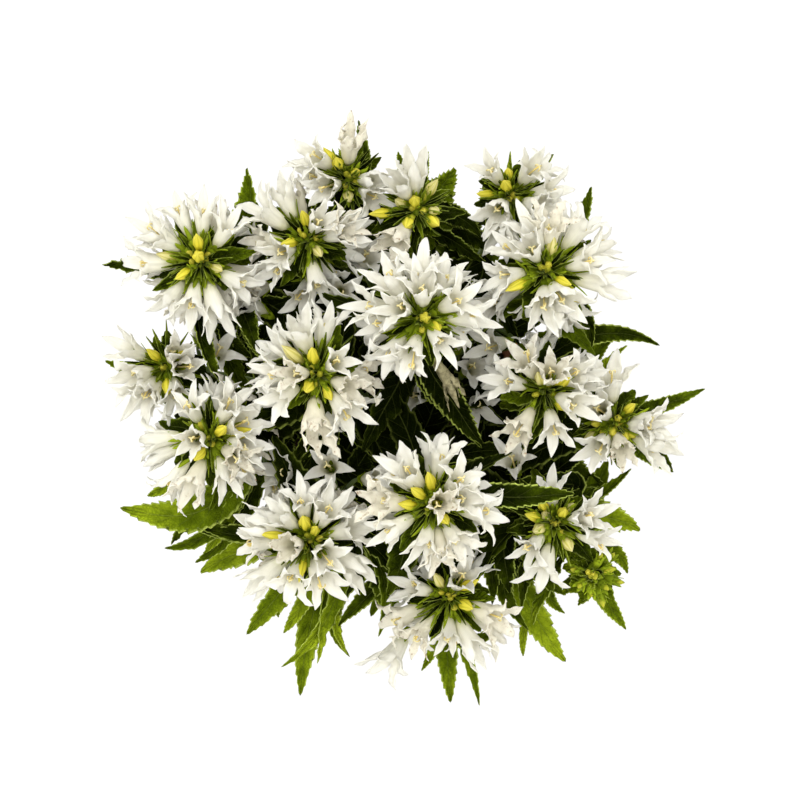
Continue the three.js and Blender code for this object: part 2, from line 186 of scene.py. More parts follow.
# Smaller leaves seen between and around the heads. A row says where the blade comes into sight (x, y), its
# tip (x, y, z), half width, arch, shade and roll.
SMALL_LEAVES = [
    (9, 23, 36, -16, 212, 5.6, 5, 0.12, 10), (33, -36, 76, -34, 214, 4.2, 6, 0.12, 15),
    (-33, -6, -11, -22, 212, 4.0, 4, 0.15, 20), (-91, 38, -81, 13, 228, 4.8, 4, 0.15, 30),
    (-73, 50, -63, 25, 232, 5.2, 4, 0.15, -20), (-14, -60, 2, -86, 212, 4.6, 4, 0.15, 10),
    (-8, -82, -11, -103, 196, 4.0, 4, 0.45, 20), (40, 40, 46, 7, 196, 5.0, 4, 0.08, 10),
    (-60, -12, -50, -29, 186, 6.5, 3, 0.12, 0), (22, 84, 43, 75, 190, 7.5, 4, 0.12, 0),
    (-66, 80, -72, 101, 186, 4.5, 3, 0.15, 0), (66, -69, 76, -85, 184, 5.0, 3, 0.3, 0),
    (33, -31, 43, -47, 190, 5.0, 3, 0.12, 0), (75, 53, 88, 37, 194, 5.0, 3, 0.15, 0),
    (19, 92, 36, 80, 200, 5.0, 4, 0.15, 10), (24, 77, 38, 69, 204, 4.2, 4, 0.12, -10),
    (-18, 91, -2, 86, 196, 4.0, 4, 0.15, 20), (10, 110, 12, 120, 196, 3.0, 3, 0.35, 30),
    (0, 108, -2, 120, 196, 3.2, 3, 0.3, -30), (-111, -35, -119, -39, 178, 3.4, 3, 0.6, 10),
    (-94, -58, -112, -64, 170, 4.2, 4, 0.35, 10), (-68, -56, -98, -52, 180, 5.0, 4, 0.2, -10),
    (-84, -60, -98, -71, 166, 4.6, 3, 0.35, 10), (-57, -87, -58, -96, 176, 2.6, 3, 0.6, 0),
    (-48, -91, -56, -104, 170, 4.2, 3, 0.7, 0), (-37, -99, -57, -120, 170, 4.4, 8, 0.62, 40),
    (-14, -84, -30, -100, 178, 5.0, 3, 0.3, 0), (-38, -101, -40, -118, 172, 3.6, 5, 0.7, 40),
    (-32, -99, -26, -114, 168, 3.0, 4, 0.8, 20), (14, -111, 9, -121, 176, 3.2, 3, 0.6, -20),
    (95, -64, 105, -75, 182, 4.0, 4, 0.55, 0), (92, -75, 101, -78, 180, 3.4, 3, 0.6, 0),
    (92, -37, 106, -26, 188, 3.0, 4, 0.35, 10), (92, -44, 102, -45, 186, 3.0, 3, 0.6, 0),
    (91, 14, 104, 31, 190, 3.4, 3, 0.75, 10), (85, 21, 98, 35, 186, 5.0, 4, 0.3, 0),
    (111, -5, 123, -1, 180, 3.0, 3, 0.5, 0), (111, -18, 127, -28, 176, 3.6, 4, 0.3, 20),
    (86, -80, 82, -90, 180, 3.4, 3, 0.5, 0), (68, -84, 76, -94, 178, 3.2, 3, 0.5, 10),
    (68, -79, 61, -99, 182, 3.8, 4, 0.55, -30), (49, -73, 59, -102, 176, 4.8, 3, 0.25, 0),
    (58, -107, 58, -117, 150, 2.4, 2, 0.7, 0), (45, -18, 61, -23, 196, 4.2, 3, 0.12, 10),
    (-47, -18, -54, -26, 196, 4.6, 3, 0.2, 0), (-29, -40, -14, -49, 200, 4.4, 3, 0.12, 10),
    (-5, -26, -17, -13, 196, 5.0, 3, 0.06, 0), (13, -13, -3, -3, 190, 5.4, 3, 0.04, 0),
    (31, 6, 17, -3, 186, 5.4, 3, 0.04, 0), (45, 52, 54, 31, 196, 5.0, 3, 0.06, 0),
    (-36, 62, -16, 66, 190, 6.5, 3, 0.1, 0), (-26, 52, -47, 46, 196, 4.8, 4, 0.12, 10),
    (-40, 56, -62, 52, 198, 4.8, 4, 0.15, 0), (-47, 70, -65, 65, 190, 4.4, 4, 0.2, 0),
    (-29, 79, -47, 75, 196, 4.4, 3, 0.2, 0), (1, 82, -15, 77, 196, 4.6, 3, 0.1, 0),
    (22, 38, 36, 52, 190, 4.8, 3, 0.05, 0), (-82, 33, -65, 38, 194, 4.8, 3, 0.12, 0),
    (-70, 6, -83, 9, 196, 4.6, 3, 0.12, 0), (-62, -13, -47, -3, 190, 4.6, 3, 0.08, 0),
    (36, -68, 45, -54, 192, 4.8, 3, 0.12, 0), (72, -26, 90, -13, 190, 5.6, 3, 0.12, 0),
    (32, -106, 46, -99, 180, 4.0, 3, 0.3, 0), (50, -55, 50, -84, 186, 6.5, 4, 0.16, 0),
    (62, -60, 56, -92, 176, 5.0, 4, 0.18, 0), (-10, -58, -9, -86, 190, 6.0, 4, 0.14, 0),
    (-80, 40, -86, 18, 200, 5.0, 4, 0.16, 0), (-66, -56, -98, -54, 178, 4.5, 4, 0.16, 20),
    (36, -37, 75, -35, 254, 5.8, 5, 0.12, 0), (80, 50, 86, 27, 200, 4.0, 4, 0.2, 10),
    (-24, -62, -20, -84, 196, 5.0, 3, 0.12, 0), (-82, 36, -70, 10, 188, 7.5, 4, 0.3, 0),
    (-64, 48, -56, 62, 190, 5.0, 3, 0.15, 0), (-6, -76, 0, -102, 182, 7.5, 4, 0.25, 0),
    (34, -60, 42, -90, 178, 6.5, 4, 0.2, 0), (72, -16, 95, -34, 186, 8.0, 4, 0.2, 0),
    (-86, -56, -93, -66, 172, 4.0, 4, 0.6, 0), (74, -52, 84, -67, 192, 5.0, 3, 0.3, 0),
    (-80, 38, -68, 25, 200, 4.6, 3, 0.2, 0), (-46, -26, -57, -38, 192, 6.0, 3, 0.12, 0),
    (62, 10, 50, -26, 204, 5.5, 6, 0.2, 10), (-60, 26, -74, 40, 206, 4.5, 6, 0.3, 10),
]

# Single flowers on short stalks in the leaf axils: foot, then [turn, rise].
SIDE_FLOWERS = [
    ([-29, 55, 214], [300, 80]), ([-42, 62, 206], [250, 50]), ([-60, 58, 208], [200, 60]),
    ([-68, 58, 204], [255, 50]), ([-60, 44, 206], [150, 40]), ([-20, 64, 206], [60, 60]),
    ([-94, 32, 196], [80, 50]), ([-88, 22, 200], [45, 62]), ([45, 50, 212], [200, 78]),
    ([49, 33, 204], [200, 50]), ([53, 26, 200], [255, 60]), ([-32, -26, 214], [100, 80]),
    ([-19, -30, 210], [0, 60]), ([-45, -27, 208], [180, 55]), ([-62, -26, 204], [300, 50]),
    ([28, 18, 190], [40, 66]), ([30, 9, 184], [310, 60]), ([12, 7, 180], [180, 60]),
    ([25, 28, 196], [90, 60]), ([3, -100, 190], [240, 30]), ([53, -28, 200], [120, 60]),
]


def unit(v):
    return v / np.maximum(np.linalg.norm(v, axis=-1, keepdims=True), 1e-9)


def ways(aims):
    """Directions from rows of [turn, rise] in degrees."""
    turn, rise = np.radians(np.atleast_2d(np.asarray(aims, float)).T)
    return np.stack([np.cos(rise) * np.cos(turn), np.cos(rise) * np.sin(turn), np.sin(rise)], axis=1)


def rising(turn, low, high):
    """Directions with these turns and a rise of chance between low and high."""
    return ways(np.stack([turn, rng.uniform(low, high, len(turn))], axis=1))


def bezier(points, s):
    """Curves (n, len(s), 3) from their control points (n, 3 or 4, 3)."""
    p = np.asarray(points, float)[:, :, None]
    s = np.asarray(s, float)[None, None, :, None]
    while p.shape[1] > 1:
        p = p[:, :-1] * (1 - s) + p[:, 1:] * s
    return p[:, 0]


def tangents(lines):
    return unit(np.gradient(lines, axis=1))


def stem_line(name, steps):
    """Points on the middle line of a head's stem. steps run from 0, in the soil, to 1, under the head."""
    x, y, z = HEADS[name]["at"]
    foot = [x * 0.32, y * 0.32]
    return bezier([[
        [*foot, SOIL_TOP],
        [*foot, SOIL_TOP + 0.35 * (z - SOIL_TOP)],
        [x * 0.95, y * 0.95, z - 42],
        [x, y, z - 8],
    ]], steps)[0]


def stem_point(name, t):
    """A point on a stem's middle line and the direction of the stem there."""
    line = stem_line(name, [max(t - 0.01, 0), t, min(t + 0.01, 1)])
    return line[1], unit(line[2] - line[0])


def spokes(feet, up, reach):
    """Points (n, k, 3) on the lines from feet along up. reach is (n, k) or (k)."""
    return feet[:, None] + up[:, None] * reach[..., None]


def walked(angles, step):
    """How far out and how far up steps at these angles from an axis lead, from 0."""
    pad = [(0, 0)] * (angles.ndim - 1) + [(1, 0)]
    return [np.pad(np.cumsum(part * step, axis=-1), pad) for part in (np.sin(angles), np.cos(angles))]


def traits(first, second=(0, 1)):
    """A row of three traits for each part: the first is given, the others come by chance."""
    n = len(first)
    return np.stack([first, rng.uniform(*second, n), rng.uniform(0, 1, n)], axis=1)


# Sheets and shells

CORNERS = ((0, 0), (0, 1), (1, 1), (1, 0))


class Form:
    """Numbered points joined by quads. cell holds each quad's corners in a cell of the bake map, cells says
    in which of the part's cells, and where tells the material the place of each point on the part."""

    def __init__(self, quads, cell, where, rows=0, cols=0):
        self.quads = np.array(quads)
        self.cell = np.array(cell, float)
        self.where = np.array(where, float)
        self.cells = np.zeros(len(self.quads), int)
        self.count = len(self.where)
        self.rows = rows
        self.cols = cols


def cell_of(i, j, rows, cols, low=0.0, high=1.0):
    """Corners of the quad in row i and column j, in the part of the cell that runs up from low to high."""
    return [[(j + dj) / cols, low + (high - low) * (i + di) / rows] for di, dj in CORNERS]


def ring_quads(rows, cols, rings, high=1.0):
    """Quads between rings of cols points, and their corners in the part of the cell below high."""
    quads, cell = [], []
    for i in range(rows):
        for j in range(cols):
            here, above, k = i * cols, (i + 1) % rings * cols, (j + 1) % cols
            quads.append([here + j, here + k, above + k, above + j])
            cell.append(cell_of(i, j, rows, cols, high=high))
    return quads, cell


def shell_of(form, apart=False):
    """The closed thin shell of a sheet: its two faces and a strip round its open edges."""
    n = form.count
    quads = form.quads
    uses = {}
    for q, quad in enumerate(quads):
        for k in range(4):
            a, b = quad[k], quad[(k + 1) % 4]
            uses[a, b] = (q, k)
    rim, rim_map = [], []
    for (a, b), (q, k) in uses.items():
        if (b, a) not in uses:
            rim.append([b, a, a + n, b + n])
            ua, ub = form.cell[q][k], form.cell[q][(k + 1) % 4]
            middle = form.cell[q].mean(axis=0)
            rim_map.append([ub, ua, ua + 0.3 * (middle - ua), ub + 0.3 * (middle - ub)])
    made = Form(
        np.concatenate([quads, quads[:, ::-1] + n, rim]),
        np.concatenate([form.cell, form.cell[:, ::-1], rim_map]),
        np.concatenate([form.where, form.where]),
    )
    made.where[n:, 2] = 1
    faces = [np.zeros(len(quads), int), np.full(len(quads), int(apart)), np.zeros(len(rim), int)]
    made.cells = np.concatenate(faces)
    return made


def thick(points, quads, gap):
    """Two layers of points, gap apart, from sheets (n, points, 3)."""
    corner = points[:, quads]
    face = np.cross(corner[:, :, 2] - corner[:, :, 0], corner[:, :, 3] - corner[:, :, 1])
    normal = np.zeros_like(points)
    for k in range(4):
        np.add.at(normal, (slice(None), quads[:, k]), face)
    step = unit(normal) * (np.asarray(gap) / 2)
    return np.concatenate([points + step, points - step], axis=1)


def grid_form(rows, cols):
    """A sheet of rows by cols quads. where is (across from -1 to 1, along from 0 to 1, side)."""
    quads, cell = [], []
    for i in range(rows):
        for j in range(cols):
            quads.append([(i + di) * (cols + 1) + j + dj for di, dj in CORNERS])
            cell.append(cell_of(i, j, rows, cols))
    across, along = np.meshgrid(np.linspace(-1, 1, cols + 1), np.linspace(0, 1, rows + 1))
    where = np.stack([across.ravel(), along.ravel(), np.zeros(across.size)], axis=1)
    return Form(quads, cell, where, rows, cols)


def tube_form(rows, cols):
    """A closed tube of quads, with quads across both of its ends. cols is even."""
    quads, cell = ring_quads(rows, cols, rows + 1)
    for start, turn, v in ((0, -1, 0.01), (rows * cols, 1, 0.99)):
        inner = 0.5 * v + 0.25
        for j in range(cols // 2 - 1):
            quad = [start + j, start + j + 1, start + cols - 2 - j, start + cols - 1 - j]
            quads.append(quad[::turn])
            corners = [[j / cols, v], [(j + 1) / cols, v], [(j + 1) / cols, inner], [j / cols, inner]]
            cell.append(corners[::turn])
    around, along = np.meshgrid(np.arange(cols) / cols, np.linspace(0, 1, rows + 1))
    where = np.stack([around.ravel(), along.ravel(), np.zeros(around.size)], axis=1)
    return Form(quads, cell, where, rows, cols)


def swept(lines, radii, cols, helper, ribs=0, rib_depth=0.0, turn=0.0):
    """Tube points (n, rows * cols, 3) round lines (n, rows, 3). helper is never along a line."""
    t = tangents(lines)
    side = unit(np.cross(helper[:, None, :], t))
    front = np.cross(t, side)
    rows = lines.shape[1]
    angle = 2 * np.pi * np.arange(cols) / cols
    twist = turn * np.linspace(0, 1, rows)[:, None]
    rib = 1 + rib_depth * np.cos(ribs * (angle[None, :] + twist))
    r = np.broadcast_to(radii, lines.shape[:2])[:, :, None] * rib[None]
    ring = (side[:, :, None] * np.cos(angle)[None, None, :, None]
            + front[:, :, None] * np.sin(angle)[None, None, :, None])
    return (lines[:, :, None] + ring * r[..., None]).reshape(len(lines), -1, 3)


class Pile:
    """What goes into one object, gathered part by part, in millimetres."""

    def __init__(self):
        self.points, self.quads, self.where, self.trait, self.cell, self.uv = [], [], [], [], [], []
        self.count = 0
        self.used = 0

    def add(self, points, form, trait):
        n = len(points)
        if n == 0:
            return
        copy = np.arange(n)[:, None, None]
        self.points.append(points.reshape(-1, 3))
        self.quads.append((form.quads[None] + self.count + copy * form.count).reshape(-1, 4))
        self.where.append(np.tile(form.where, (n, 1)))
        self.trait.append(np.repeat(np.asarray(trait, float), form.count, axis=0))
        cells = int(form.cells.max()) + 1
        self.cell.append((form.cells[None] + self.used + np.arange(n)[:, None] * cells).ravel())
        self.uv.append(np.tile(form.cell, (n, 1, 1)))
        self.count += n * form.count
        self.used += n * cells

    def sweep(self, form, lines, radii, helper, trait, **ribs):
        self.add(swept(lines, radii, form.cols, helper, **ribs), form, trait)

    def build(self, name, material, slot, *nodes):
        points = np.concatenate(self.points) * MM
        quads = np.concatenate(self.quads)
        mesh = bpy.data.meshes.new(name)
        mesh.vertices.add(len(points))
        mesh.vertices.foreach_set("co", points.ravel())
        mesh.loops.add(quads.size)
        mesh.loops.foreach_set("vertex_index", quads.ravel().astype(np.int32))
        mesh.polygons.add(len(quads))
        mesh.polygons.foreach_set("loop_start", np.arange(0, quads.size, 4, dtype=np.int32))
        mesh.polygons.foreach_set("use_smooth", np.ones(len(quads), bool))
        across = math.ceil(math.sqrt(self.used))
        cell = np.concatenate(self.cell)
        corner = np.stack([cell % across, cell // across], axis=1)[:, None]
        uv = (corner + 0.03 + 0.94 * np.concatenate(self.uv)) / across
        layer = mesh.uv_layers.new(name="OFBake")
        layer.uv.foreach_set("vector", uv.ravel())
        for label, rows in (("where", self.where), ("trait", self.trait)):
            data = mesh.attributes.new(label, "FLOAT_VECTOR", "POINT")
            data.data.foreach_set("vector", np.concatenate(rows).ravel())
        mesh.update(calc_edges=True)
        mesh.validate()
        mesh.materials.append(material)
        made = bpy.data.objects.new(name, mesh)
        bpy.context.scene.collection.objects.link(made)
        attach(made, "root")
        if nodes:
            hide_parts(*nodes)


def axes(up, spin):
    """Side and front axes at right angles to each direction up, turned about it by spin."""
    helper = np.where(np.abs(up[:, 2:3]) > 0.95, [[1.0, 0, 0]], [[0, 0, 1.0]])
    side = unit(np.cross(helper, up))
    front = np.cross(up, side)
    c, s = np.cos(spin)[:, None], np.sin(spin)[:, None]
    return side * c + front * s, front * c - side * s


def placed(local, feet, up, spin):
    """Local points (n, points, 3) stood on their feet along up."""
    side, front = axes(up, spin)
    return (feet[:, None] + side[:, None] * local[..., 0:1] + front[:, None] * local[..., 1:2]
            + up[:, None] * local[..., 2:3])


# Corollas

LOBES = 5
PER_LOBE = 4
AROUND = LOBES * PER_LOBE
TUBE_ROWS = 4
LOBE_ROWS = 8
TUBE_LENGTH = 13.0
LOBE_LENGTH = 11.4
TUBE_RADII = ([0.0, 0.25, 0.5, 0.75, 1.0], [1.3, 2.7, 3.3, 3.8, 4.4])


def corolla_form():
    """A tube with AROUND columns, then a separate strip for each lobe, joined at the tube's mouth."""
    where, lobe, row = [], [], []
    share = TUBE_LENGTH / (TUBE_LENGTH + LOBE_LENGTH)
    for i in range(TUBE_ROWS + 1):
        for j in range(AROUND):
            where.append([(j % PER_LOBE) / PER_LOBE * 2 - 1, share * i / TUBE_ROWS, 0])
            lobe.append(j // PER_LOBE)
            row.append(i)
    for k in range(LOBES):
        for i in range(1, LOBE_ROWS + 1):
            for j in range(PER_LOBE + 1):
                where.append([j / PER_LOBE * 2 - 1, share + (1 - share) * i / LOBE_ROWS, 0])
                lobe.append(k)
                row.append(TUBE_ROWS + i)

    def corner(k, i, j):
        if i == 0:
            return TUBE_ROWS * AROUND + (k * PER_LOBE + j) % AROUND
        return (TUBE_ROWS + 1) * AROUND + (k * LOBE_ROWS + i - 1) * (PER_LOBE + 1) + j

    quads, cell = ring_quads(TUBE_ROWS, AROUND, TUBE_ROWS + 1, share)
    for k in range(LOBES):
        for i in range(LOBE_ROWS):
            for j in range(PER_LOBE):
                quads.append([corner(k, i + di, j + dj) for di, dj in CORNERS])
                cell.append(cell_of(i, k * PER_LOBE + j, LOBE_ROWS, AROUND, share))
    form = Form(quads, cell, where)
    form.lobe = np.array(lobe)
    form.row = np.array(row)
    return form


COROLLA = corolla_form()
COROLLA_SHELL = shell_of(COROLLA)


def corolla_points(n, spread, late, size, age):
    """Local points of n corollas. spread is the angle from the axis at the lobes' tips, late how late
    they bend, age from 0 to 1 how old they are: from 0.6 on they crumple."""
    old = np.clip((age - 0.6) / 0.3, 0, 1)[:, None]
    form = COROLLA
    across = form.where[:, 0]
    in_tube = form.row <= TUBE_ROWS
    s = np.clip(form.row / TUBE_ROWS, 0, 1)
    t = np.clip((form.row - TUBE_ROWS) / LOBE_ROWS, 0, 1)
    middle = 2 * np.pi * (form.lobe + 0.5) / LOBES
    half = np.pi / LOBES

    # The tube, with a soft ridge below each lobe.
    flare = rng.uniform(0.9, 1.12, (n, 1))
    radius = np.interp(s, *TUBE_RADII)[None] * (1 + (flare - 1) * s)
    radius = radius * (1 + 0.05 * s * np.cos(np.pi * across))
    angle = middle + across * half
    squeeze = rng.uniform(-0.06, 0.06, (n, 1)) * np.cos(2 * angle)[None] * s
    crumple = 0.16 * old * np.sin(3 * angle[None] + 8 * s[None] + rng.uniform(0, 6.28, (n, 1))) * s
    radius = radius * (1 + squeeze + crumple)
    tube = np.stack([radius * np.cos(angle), radius * np.sin(angle),
                     np.broadcast_to(TUBE_LENGTH * s, radius.shape)], axis=2)

    # The middle line of each lobe: its angle from the axis grows towards the tip.
    start = rng.uniform(0.2, 0.5, (n, LOBES)) / late[:, None]
    end = spread[:, None] + rng.normal(0, 0.3, (n, LOBES))
    start = np.minimum(start, np.maximum(end, 0.1))
    power = rng.uniform(1.1, 2.4, (n, LOBES)) * late[:, None]
    length = LOBE_LENGTH * rng.uniform(0.86, 1.12, (n, LOBES))
    steps = np.linspace(0, 1, LOBE_ROWS + 1)
    bend = start[..., None] + (end - start)[..., None] * steps ** power[..., None]
    mid = (bend[..., 1:] + bend[..., :-1]) / 2
    stride = length[..., None] / LOBE_ROWS
    mouth = TUBE_RADII[1][-1] * flare * 1.05
    out, rise = walked(mid, stride)
    out, rise = out + mouth[..., None], rise + TUBE_LENGTH

    i = np.clip(form.row - TUBE_ROWS, 0, LOBE_ROWS)
    line_out, line_rise, line_bend = out[:, form.lobe, i], rise[:, form.lobe, i], bend[:, form.lobe, i]
    wide = rng.uniform(0.92, 1.1, (n, LOBES))[:, form.lobe]
    taper = (1 - t) ** 0.9 * (1 + 0.9 * t)
    half_width = np.maximum(mouth * math.sin(half) * taper * (1 + (wide - 1) * np.minimum(3 * t, 1)), 0.12)
    cup = rng.uniform(-0.35, 0.5, (n, LOBES))[:, form.lobe]
    twist = rng.normal(0, 0.45, (n, LOBES))[:, form.lobe] * across * t
    curl = (0.325 * (1 - t) + cup * t) * across ** 2
    crease = -0.3 * (1 - np.abs(across)) * np.sin(np.pi * np.minimum(t + 0.15, 1))
    phase = rng.uniform(0, 2 * np.pi, (n, LOBES))[:, form.lobe]
    rate = rng.uniform(8, 15, (n, LOBES))[:, form.lobe]
    depth = 0.3 * (1 + 1.4 * old)
    wave = depth * across ** 2 * np.sin(rate * t + phase + 1.5 * np.sign(across)) * np.minimum(4 * t, 1)
    height = half_width * (curl + crease + wave + twist)
    sway = rng.normal(0, 0.9, (n, LOBES))[:, form.lobe] * t ** 2
    side = across * half_width + sway
    far = line_out - np.cos(line_bend) * height
    high = line_rise + np.sin(line_bend) * height
    lobe = np.stack([far * np.cos(middle) - side * np.sin(middle),
                     far * np.sin(middle) + side * np.cos(middle), high], axis=2)
    points = np.where(in_tube[None, :, None], tube, lobe)
    return points * size[:, None, None]


def corollas(pile, feet, up, spin, spread, late, size, trait, pinch=1.0):
    trait = np.asarray(trait, float)
    local = corolla_points(len(feet), spread, late, size, trait[:, 0])
    local[..., :2] *= pinch
    lean = rng.normal(0, 0.05, (len(feet), 1, 2)) * (local[..., 2:3] ** 2) / 14
    local[..., :2] += lean
    points = thick(placed(local, feet, up, spin), COROLLA.quads, 0.28)
    pile.add(points, COROLLA_SHELL, trait)


# Calyces, styles and buds

SEPAL = grid_form(5, 2)
SEPAL_SHELL = shell_of(SEPAL)
CUP = tube_form(4, 10)
CUP_RADII = [0.8, 1.5, 2.0, 2.2, 1.6]
STYLE = tube_form(5, 6)
STYLE_RADII = [0.8, 0.5, 0.4, 0.4, 0.45, 0.5]
STIGMA = tube_form(5, 4)
ARM_RADII = [0.42, 0.42, 0.4, 0.36, 0.3, 0.12]
ARM_LENGTH = 3.3
CORE = tube_form(6, 12)
CORE_RADII = [2.4, 2.8, 3.4, 4.4, 4.9, 3.8, 0.8]
BUD = tube_form(10, 20)
BUDLET = tube_form(6, 10)
BUD_SHAPE = ([0, 0.1, 0.3, 0.45, 0.65, 0.82, 0.93, 1], [0.45, 0.62, 0.92, 1.0, 0.78, 0.45, 0.2, 0.04])


def sepals(pile, feet, up, spin, length, hug, trait):
    """Five narrow sepals round the foot of each flower. hug is their angle from the axis."""
    n = len(feet)
    turn = (2 * np.pi * np.arange(LOBES) / LOBES)[None] + rng.normal(0, 0.12, (n, LOBES))
    side, front = axes(up, spin)
    out = side[:, None] * np.cos(turn)[..., None] + front[:, None] * np.sin(turn)[..., None]
    base = feet[:, None] + out * 1.7
    lean = hug[:, None] + rng.normal(0, 0.14, (n, LOBES))
    long = length[:, None] * rng.uniform(0.85, 1.15, (n, LOBES))
    s = np.linspace(0, 1, SEPAL.rows + 1)
    bend = lean[..., None] * (0.6 + 0.7 * s)
    far, high = walked(bend[..., 1:], long[..., None] / SEPAL.rows)
    line = base[:, :, None] + out[:, :, None] * far[..., None] + up[:, None, None] * high[..., None]
    across = np.cross(up[:, None], out)
    width = 1.0 * (1 - s) ** 0.7 * (1 + 0.8 * s) + 0.08
    edge = across[:, :, None] * width[None, None, :, None]
    keel = -out[:, :, None] * 0.25 * (1 - s)[None, None, :, None]
    rows = np.stack([line - edge, line + keel, line + edge], axis=3).reshape(n * LOBES, -1, 3)
    pile.add(thick(rows, SEPAL.quads, 0.25), SEPAL_SHELL, np.repeat(trait, LOBES, axis=0))


def cups(pile, feet, up, trait, length=8.5):
    """The green cup below each corolla."""
    s = np.linspace(0, 1, CUP.rows + 1)
    line = spokes(feet, -up, length * (1 - s))
    pile.sweep(CUP, line, CUP_RADII, axes(up, np.zeros(len(up)))[0], trait, ribs=5, rib_depth=0.08)


def cores(pile, at):
    """The green middle that the flowers of a head stand on."""
    line = at + UP * np.linspace(-9, 6, CORE.rows + 1)[:, None]
    helper = np.array([[1.0, 0, 0]])
    pile.sweep(CORE, line[None], CORE_RADII, helper, [[0.15, 0.5, 0.5]], ribs=4, rib_depth=0.16)


def styles(pile, feet, up, spin, size, trait):
    """A pale style with three curled stigma arms."""
    n = len(feet)
    side, front = axes(up, spin)
    s = np.linspace(0, 1, STYLE.rows + 1)
    tall = (TUBE_LENGTH + rng.uniform(-1.0, 4.0, n)) * size
    bow = rng.normal(0, 1.0, (n, 2))
    line = (spokes(feet, up, tall[:, None] * s)
            + side[:, None] * (bow[:, 0:1] * s ** 2)[..., None]
            + front[:, None] * (bow[:, 1:2] * s ** 2)[..., None])
    pile.sweep(STYLE, line, STYLE_RADII, side, trait)
    tip, along = line[:, -1], unit(line[:, -1] - line[:, -2])
    a = np.linspace(0, 1, STIGMA.rows + 1)
    for k in range(3):
        out = axes(along, spin + 2 * np.pi * k / 3)[0]
        curl = 0.5 + 3.6 * a * rng.uniform(0.75, 1.15, (n, 1))
        far, high = walked(curl[:, 1:], ARM_LENGTH / STIGMA.rows)
        arm = spokes(tip, out, far) + along[:, None] * high[..., None]
        pile.sweep(STIGMA, arm, ARM_RADII, np.cross(along, out), trait)


def buds(pile, feet, up, length, girth, trait, form=BUD):
    """Closed buds: five folds that twist a little and meet in a point."""
    n = len(feet)
    s = np.linspace(0, 1, form.rows + 1)
    helper, front = axes(up, rng.uniform(0, 6.28, n))
    bow = rng.normal(0, 0.5, (n, 1, 1)) * (s ** 2)[None, :, None] * helper[:, None]
    line = spokes(feet, up, length[:, None] * s) + bow
    girth = girth[:, None] * np.interp(s, *BUD_SHAPE)
    pile.sweep(form, line, girth, front, trait, ribs=5, rib_depth=0.13, turn=0.5)


# Leaves

def leaf_form(rows, cols):
    """The sheet of a blade, with a shell whose two faces have a cell of the bake map each."""
    form = grid_form(rows, cols)
    form.shell = shell_of(form, apart=True)
    return form


LEAF = leaf_form(40, 6)
HIDDEN = leaf_form(20, 6)
BRACT = leaf_form(10, 4)
NEEDLE = leaf_form(8, 2)

# The powers of a blade's outline at the foot and at the tip.
NARROW = (0.55, 0.85)
BROAD = (0.42, 0.95)


def outline(b, shape):
    """Half width along a blade, 1 at its widest. shape holds the powers at the foot and at the tip."""
    foot, tip = shape
    peak = foot / (foot + tip)
    return b ** foot * (1 - b) ** tip / (peak ** foot * (1 - peak) ** tip)


def leaves(pile, start, middle, tip, half, roll, shade, form=LEAF, stalk=0.12, ruffle=1.0,
           shape=NARROW, edge=(0.6, 1)):
    """Toothed blades on narrow stalks along the curve from start through middle to tip.

    edge is the range that the paleness of their margins is drawn from: a paler rim with painted highlight."""
    start, middle, tip = (np.atleast_2d(np.asarray(p, float)) for p in (start, middle, tip))
    n = len(start)
    half, roll, shade, stalk = (np.broadcast_to(np.asarray(v, float), n) for v in (half, roll, shade, stalk))
    rows, cols = form.rows, form.cols
    s = np.linspace(0, 1, rows + 1)
    line = bezier(np.stack([start, middle, tip], axis=1), s)
    along = tangents(line)
    facing = unit(UP - 0.45 * unit((start + tip) * [0.5, 0.5, 0]))
    side = unit(np.cross(along, facing[:, None]))
    up = np.cross(side, along)
    angle = (np.radians(roll)[:, None] * (0.3 + 0.9 * s) + rng.normal(0, 0.12, (n, 1)))[..., None]
    side, up = side * np.cos(angle) + up * np.sin(angle), up * np.cos(angle) - side * np.sin(angle)
    meander = 0.16 * half[:, None] * np.sin(
        rng.uniform(4, 8, (n, 1)) * s + rng.uniform(0, 6.28, (n, 1))) * np.sin(np.pi * s)
    line = line + (side + up) * meander[..., None]

    b = np.clip((s[None] - stalk[:, None]) / (1 - stalk[:, None]), 0, 1)
    a = np.linspace(-1, 1, cols + 1)
    half_of = (a > 0).astype(int)
    rim = np.abs(a) ** 6
    saw = np.where(np.arange(rows + 1) % 2, 0.075, -0.05)[None, :, None]
    tooth = (saw * (b > 0)[..., None] * rng.uniform(0.4, 1.5, (n, rows + 1, 2)))[..., half_of]
    width = np.maximum(half[:, None] * outline(b, shape), 0.9 - 0.75 * s[None])[..., None]
    lateral = width * a * (1 + tooth * rim)
    forward = tooth * half[:, None, None] * 1.4 * rim
    waves = rows * rng.uniform(1.0, 1.45, (n, 1, 2))[..., half_of]
    phase = rng.uniform(0, 6.28, (n, 1, 2))[..., half_of]
    swell = 0.6 + 0.4 * np.sin(7 * s[None, :, None] + phase)
    ripple = ruffle * 0.2 * width * np.abs(a) ** 2.2 * swell * np.sin(waves * s[None, :, None] + phase)
    fold = width * (rng.uniform(0.3, 0.9, (n, 1, 1)) * np.abs(a) - 0.12 * a ** 2)
    lift = fold + ripple
    points = (line[:, :, None] + side[:, :, None] * lateral[..., None] + up[:, :, None] * lift[..., None]
              + along[:, :, None] * forward[..., None])
    trait = traits(shade, edge)
    sheet = points.reshape(n, -1, 3)
    thickness = np.where(np.abs(form.where[:, 0]) < 0.1, 1.1 - 0.7 * form.where[:, 1], 0.35)[None, :, None]
    pile.add(thick(sheet, form.quads, thickness), form.shell, trait)


# Materials

